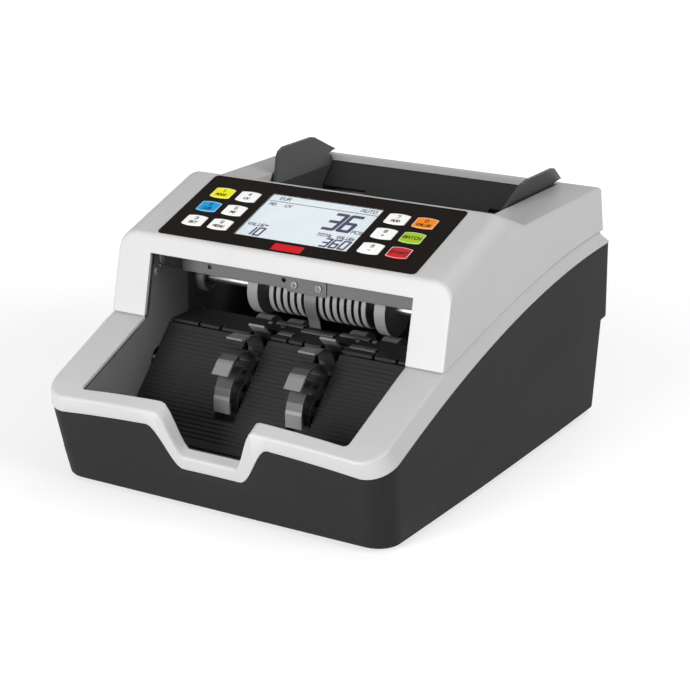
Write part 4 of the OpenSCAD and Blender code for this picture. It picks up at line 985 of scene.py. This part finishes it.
@dataclass
class NotePath:
    """The tray, the ramp, the rollers and what carries them, in the case's frame."""

    roll_d: float = 148.0
    roll_z: float = 103.5
    beam_d: float = 119.0
    head_low_z: float = 115.5
    strap_w: float = 8.6
    strap_thick: float = 1.0
    strap_x: float = -3.2
    strap_r: float = 17.4
    strap_turn: Pair = (166.0, 218.0)
    strap_steps: int = 16
    # Offsets of the strap's upper and lower end from the head, the circle and the comb plate
    strap_lead: tuple[Pair, ...] = ((0.3, 0.2), (0.1, -2.5))
    strap_tail: tuple[Pair, ...] = ((1.6, -3.4), (2.6, 0.3))
    plate_x: float = 1.3
    plate_w: float = 30.0
    plate_thick: float = 0.8
    plate_sink: float = 0.05
    plate_z: Pair = (113.0, 126.0)
    wall_x: float = -97.8
    # Distance and height of the ribs' ends and of the fittings' middles
    rib_runs: tuple[tuple[Pair, ...], ...] = (
        ((94.5, 123.0), (111.0, 116.9)), ((113.6, 115.9), (125.0, 111.7)),
    )
    rib_w: float = 1.6
    rib_h: float = 1.5
    low_head: Pair = (91.3, 120.7)
    boss: Pair = (99.8, 128.4)
    comb_z: float = 84.5
    tab_thick: float = 0.5
    # Middle across, width and distance of each tab, then middle and distance of each bump
    tabs: tuple[Triple, ...] = (
        (-12.0, 11.0, 112.6), (46.0, 19.0, 112.6), (5.0, 24.5, 124.4),
        (-20.0, 21.0, 131.0), (30.0, 22.0, 130.0),
    )
    bumps: tuple[Pair, ...] = (
        (-34.8, 131.4), (-22.8, 127.9), (34.6, 127.5), (45.0, 131.2),
    )

    def build(self) -> None:
        """Makes the strap, the bearing cups, the wall fittings and the comb's tabs."""
        self.build_strap()
        self.build_cups()
        self.build_fittings()
        self.build_tabs()

    def build_strap(self) -> None:
        """Makes the strap over the rollers, and the plate that is screwed to the beam.

        The strap comes down from the middle sensor head, follows a circle about the rollers' shaft
        between its two angles, and runs straight on to the comb plate.
        """
        angle = np.radians(np.linspace(*self.strap_turn, self.strap_steps))
        around = np.stack([np.cos(angle), np.sin(angle)], axis=1)
        ring = self.strap_r * around + [self.roll_d, self.roll_z]
        lead = np.array(self.strap_lead) + [ring[0, 0], self.head_low_z]
        tail = np.array(self.strap_tail) + [ring[-1], [ring[-1, 0], self.comb_z]]
        path = np.concatenate([lead, ring, tail])
        way = np.gradient(path, axis=0)
        way = way / np.linalg.norm(way, axis=1, keepdims=True)
        normals = np.stack([way[:, 1], -way[:, 0]], axis=1)
        strap = sweep(path, normals, self.strap_w, self.strap_thick, self.strap_x)
        plate_path = np.array([[self.beam_d - self.plate_sink, z] for z in self.plate_z])
        front = np.array([[-1.0, 0.0], [-1.0, 0.0]])
        plate = sweep(plate_path, front, self.plate_w, self.plate_thick, self.plate_x)
        shape = stack([strap, plate]).at(CASE)
        make_piece("note_strap", shape, Body.CHASSIS, PAINT, "plate", smooth=40.0)

    def build_cups(self) -> None:
        """Makes the bearing cups round the ends of the upper shaft."""
        sides = ([1.0, 1.0], [-1.0, 1.0])
        shape = stack([turned(CUP * side, self.roll_d, self.roll_z) for side in sides]).at(CASE)
        make_piece("bearing_cups", shape, Body.CHASSIS, PAINT, "inner", smooth=40.0)

    def build_fittings(self) -> None:
        """Makes a rib, a boss and two hexagon heads on each side wall of the mouth.

        The rib falls to the back along the wall, with a gap in it. A head is a profile turned
        about a line along x in six steps, and the boss is one turned in many.
        """
        up = np.array([[0.0, 1.0], [0.0, 1.0]])
        ribs = [
            sweep(np.array(run), up, self.rib_w, self.rib_h, self.wall_x + self.rib_w / 2)
            for run in self.rib_runs
        ]
        head, boss = HEAD + [self.wall_x, 0.0], BOSS + [self.wall_x, 0.0]
        heads = [turned(head, *at, steps=6) for at in (self.low_head, self.boss)]
        left = stack([*ribs, heads[0], turned(boss, *self.boss, steps=32), heads[1]])
        right = Surface(left.points * [-1.0, 1.0, 1.0], left.faces)
        shape = stack([left, right]).at(CASE)
        make_piece("wall_fittings", shape, Body.CHASSIS, WALLS_PAINTED_LIGHT, "inner", smooth=35.0)

    def build_tabs(self) -> None:
        """Makes the raised tabs and small bumps on the comb plate.

        A tab is a strip carried up a short ramp and along the plate, and a bump is a turned eyelet.
        """
        shapes = [
            sweep(TAB_PATH + [d, self.comb_z], TAB_UP, w, self.tab_thick, x)
            for x, w, d in self.tabs
        ]
        shapes += [self.bump(x, d) for x, d in self.bumps]
        shape = stack(shapes).at(CASE)
        make_piece("comb_tabs", shape, Body.CHASSIS, PAINT, "inner", smooth=35.0)

    def bump(self, x: float, d: float) -> Surface:
        """Gives a low round eyelet on the comb plate.

        A closed profile of height and radius is turned about a line along x, and the axes are then
        swapped so that the line stands upright.
        """
        ring = turned(EYELET, 0.0, 0.0, steps=20)
        return Surface(ring.points[:, [1, 2, 0]] + [x, d, self.comb_z], ring.faces)

    def dress(self) -> None:
        """Gives the note path's solids their finishes."""
        dress(["ramp", "comb_plate", "sensor_heads"], INNER)
        # The tray's walls take a colour lifted by painted light
        dress(["stacker_tray"], WALLS_PAINTED_LIGHT)
        dress(["side_frame_left", "side_frame_right", "cross_beam"], PAINT)
        dress(["transport_shaft", "drive_shaft", "stacker_shaft"], STEEL)
        dress(["screws"], SCREW)
        dress(["shaft_bushes"], BRONZE)
        dress(["flat_rollers", "drive_rollers"], ROLLER)
        dress(["ring_rollers"], RINGS)
        dress(["transport_gear", "drive_pulleys", "stacker_pulley"], PULLEY)
        dress(["stacker_wheel_left", "stacker_wheel_right"], VANES)


@dataclass
class Hopper:
    """The hopper with its sliding guides and feed rollers."""

    def dress(self) -> None:
        """Gives the hopper's solids their finishes."""
        dress(["hopper_bed", "hopper_front"], INNER)
        dress(["guide_left", "guide_right"], GUIDE)
        dress(["guide_rail", "feed_shaft"], STEEL)
        dress(["guide_pinion", "feed_pulley"], PULLEY)
        dress(["feed_rollers"], RUBBER)


@dataclass
class Drive:
    """The motor, belts, boards and rear sockets."""

    def dress(self) -> None:
        """Gives the drive's and the electronics' solids their finishes."""
        dress(["main_motor", "power_supply"], CASING)
        dress(["motor_pulley"], PULLEY)
        dress(["drive_belt", "side_belts"], RUBBER)
        dress(["main_board"], BOARD)
        dress(["power_inlet", "power_switch", "display_socket"], SOCKET)


def shows(tree: bpy.types.NodeTree) -> Socket:
    """Tells rays that show the surroundings: seen straight, in gloss or through glass.

    Args:
        tree: Nodes of the surroundings or the floor.

    Returns:
        The socket that is 1 for such a ray and 0 for one that only lights.
    """
    ray = tree.nodes.new("ShaderNodeLightPath")
    seen = ray.outputs["Is Camera Ray"]
    for kind in ("Is Glossy Ray", "Is Transmission Ray"):
        either = tree.nodes.new("ShaderNodeMath")
        either.operation = "MAXIMUM"
        tree.links.new(seen, either.inputs[0])
        tree.links.new(ray.outputs[kind], either.inputs[1])
        seen = either.outputs[0]
    return seen


def placed(*columns: Sequence[float]) -> Matrix:
    """Gives an object's matrix from the directions of its three axes and its place."""
    matrix = np.eye(4)
    matrix[:3] = np.stack(columns, axis=1)
    return Matrix(matrix.tolist())


@dataclass(frozen=True)
class Lamp:
    """A square soft lamp: its place, the point it faces, its side and its power in watts."""

    name: str
    place: Triple
    target: Triple
    size: float
    power: float

    def build(self) -> None:
        """Adds the lamp, with two sides level."""
        data = bpy.data.lights.new(self.name, "AREA")
        data.shape, data.size, data.energy = "SQUARE", self.size, self.power
        lamp = bpy.data.objects.new(self.name, data)
        back = np.array(self.place) - np.array(self.target)
        back = back / np.linalg.norm(back)
        side = np.cross((0.0, 0.0, 1.0), back)
        side = side / np.linalg.norm(side)
        lamp.matrix_world = placed(side, np.cross(back, side), back, self.place)
        bpy.context.scene.collection.objects.link(lamp)


@dataclass
class Studio:
    """The pale floor, the soft light and the camera, in metres except where a name says else."""

    sensor_mm: float = 36.0
    focal_px: float = 1934.0
    picture_px: float = 690.0
    clip: Pair = (0.05, 50.0)
    eye: Triple = (0.63556, -1.04403, 0.47600)
    right: Triple = (0.85615, 0.51672, 0.0)
    up: Triple = (-0.16251, 0.26991, 0.94907)
    back: Triple = (0.49051, -0.81249, 0.31506)
    ambient: float = 0.11
    lamps: tuple[Lamp, ...] = (
        Lamp("front_lamp", (-0.3, -1.7, 0.42), (0.0, 0.0, 0.1), 0.8, 37.0),
        Lamp("side_lamp", (1.7, -0.15, 0.8), (0.0, 0.0, 0.08), 1.1, 22.5),
        Lamp("top_lamp", (0.35, 1.1, 1.5), (0.0, 0.0, 0.08), 1.4, 8.5),
    )
    floor_half: float = 6.0
    floor_tone: Colour = (0.56, 0.56, 0.56)
    floor_roughness: float = 0.8
    floor_lift: float = 0.58
    floor_near: float = 0.3
    floor_far: float = 1.3

    def build(self) -> None:
        """Sets up the camera, the lamps, the surroundings and the floor."""
        self.build_camera()
        self.build_world()
        for lamp in self.lamps:
            lamp.build()
        self.build_floor()
        bpy.context.scene.view_settings.view_transform = "Standard"

    def build_camera(self) -> None:
        """Sets the camera at the photograph's place and angle."""
        data = bpy.data.cameras.new("photo_camera")
        data.sensor_width = self.sensor_mm
        data.lens = self.focal_px / self.picture_px * self.sensor_mm
        data.clip_start, data.clip_end = self.clip
        camera = bpy.data.objects.new("photo_camera", data)
        camera.matrix_world = placed(self.right, self.up, self.back, self.eye)
        bpy.context.scene.collection.objects.link(camera)
        bpy.context.scene.camera = camera

    def build_world(self) -> None:
        """Makes even surroundings that show as white and light the object plainly."""
        world = bpy.data.worlds.new("studio")
        world.use_nodes = True
        nodes, links = world.node_tree.nodes, world.node_tree.links
        nodes.clear()
        out = nodes.new("ShaderNodeOutputWorld")
        mix = nodes.new("ShaderNodeMixShader")
        soft, white = nodes.new("ShaderNodeBackground"), nodes.new("ShaderNodeBackground")
        soft.inputs["Strength"].default_value = self.ambient
        for target, source in zip(mix.inputs[1:3], (soft, white)):
            source.inputs["Color"].default_value = FULL_WHITE
            links.new(source.outputs[0], target)
        links.new(shows(world.node_tree), mix.inputs["Fac"])
        links.new(mix.outputs[0], out.inputs["Surface"])
        bpy.context.scene.world = world

    def build_floor(self) -> None:
        """Makes the pale floor, which shows the shadow near the object and white further out."""
        corners = ((-1, -1), (1, -1), (1, 1), (-1, 1))
        points = [(self.floor_half * x, self.floor_half * y, 0.0) for x, y in corners]
        mesh = bpy.data.meshes.new("floor")
        mesh.from_pydata(points, [], [[0, 1, 2, 3]])
        floor = bpy.data.objects.new("floor", mesh)
        bpy.context.scene.collection.objects.link(floor)
        nodes = Nodes("pale_floor")
        nodes.shader.inputs["Base Color"].default_value = (*self.floor_tone, 1.0)
        nodes.shader.inputs["Roughness"].default_value = self.floor_roughness
        nodes.shader.inputs["Emission Color"].default_value = FULL_WHITE
        radius = nodes.length(nodes.place())
        fade = nodes.ramp(radius, self.floor_near, self.floor_far, self.floor_lift, 1.0)
        lift = nodes.add("ShaderNodeMath", operation="MULTIPLY")
        nodes.link(shows(nodes.tree), lift.inputs[0])
        nodes.link(fade, lift.inputs[1])
        nodes.link(lift.outputs[0], nodes.shader.inputs["Emission Strength"])
        mesh.materials.append(nodes.material)


def main() -> None:
    """Builds and dresses the sub-assemblies in order."""
    logging.basicConfig(level=logging.INFO, format="%(message)s")
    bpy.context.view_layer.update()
    Studio().build()
    case_parts, keypad, path = Case(), Keypad(), NotePath()
    for assembly in (case_parts, keypad, path):
        assembly.build()
    for assembly in (case_parts, keypad, path, Hopper(), Drive()):
        assembly.dress()


if __name__ == "__main__":
    main()
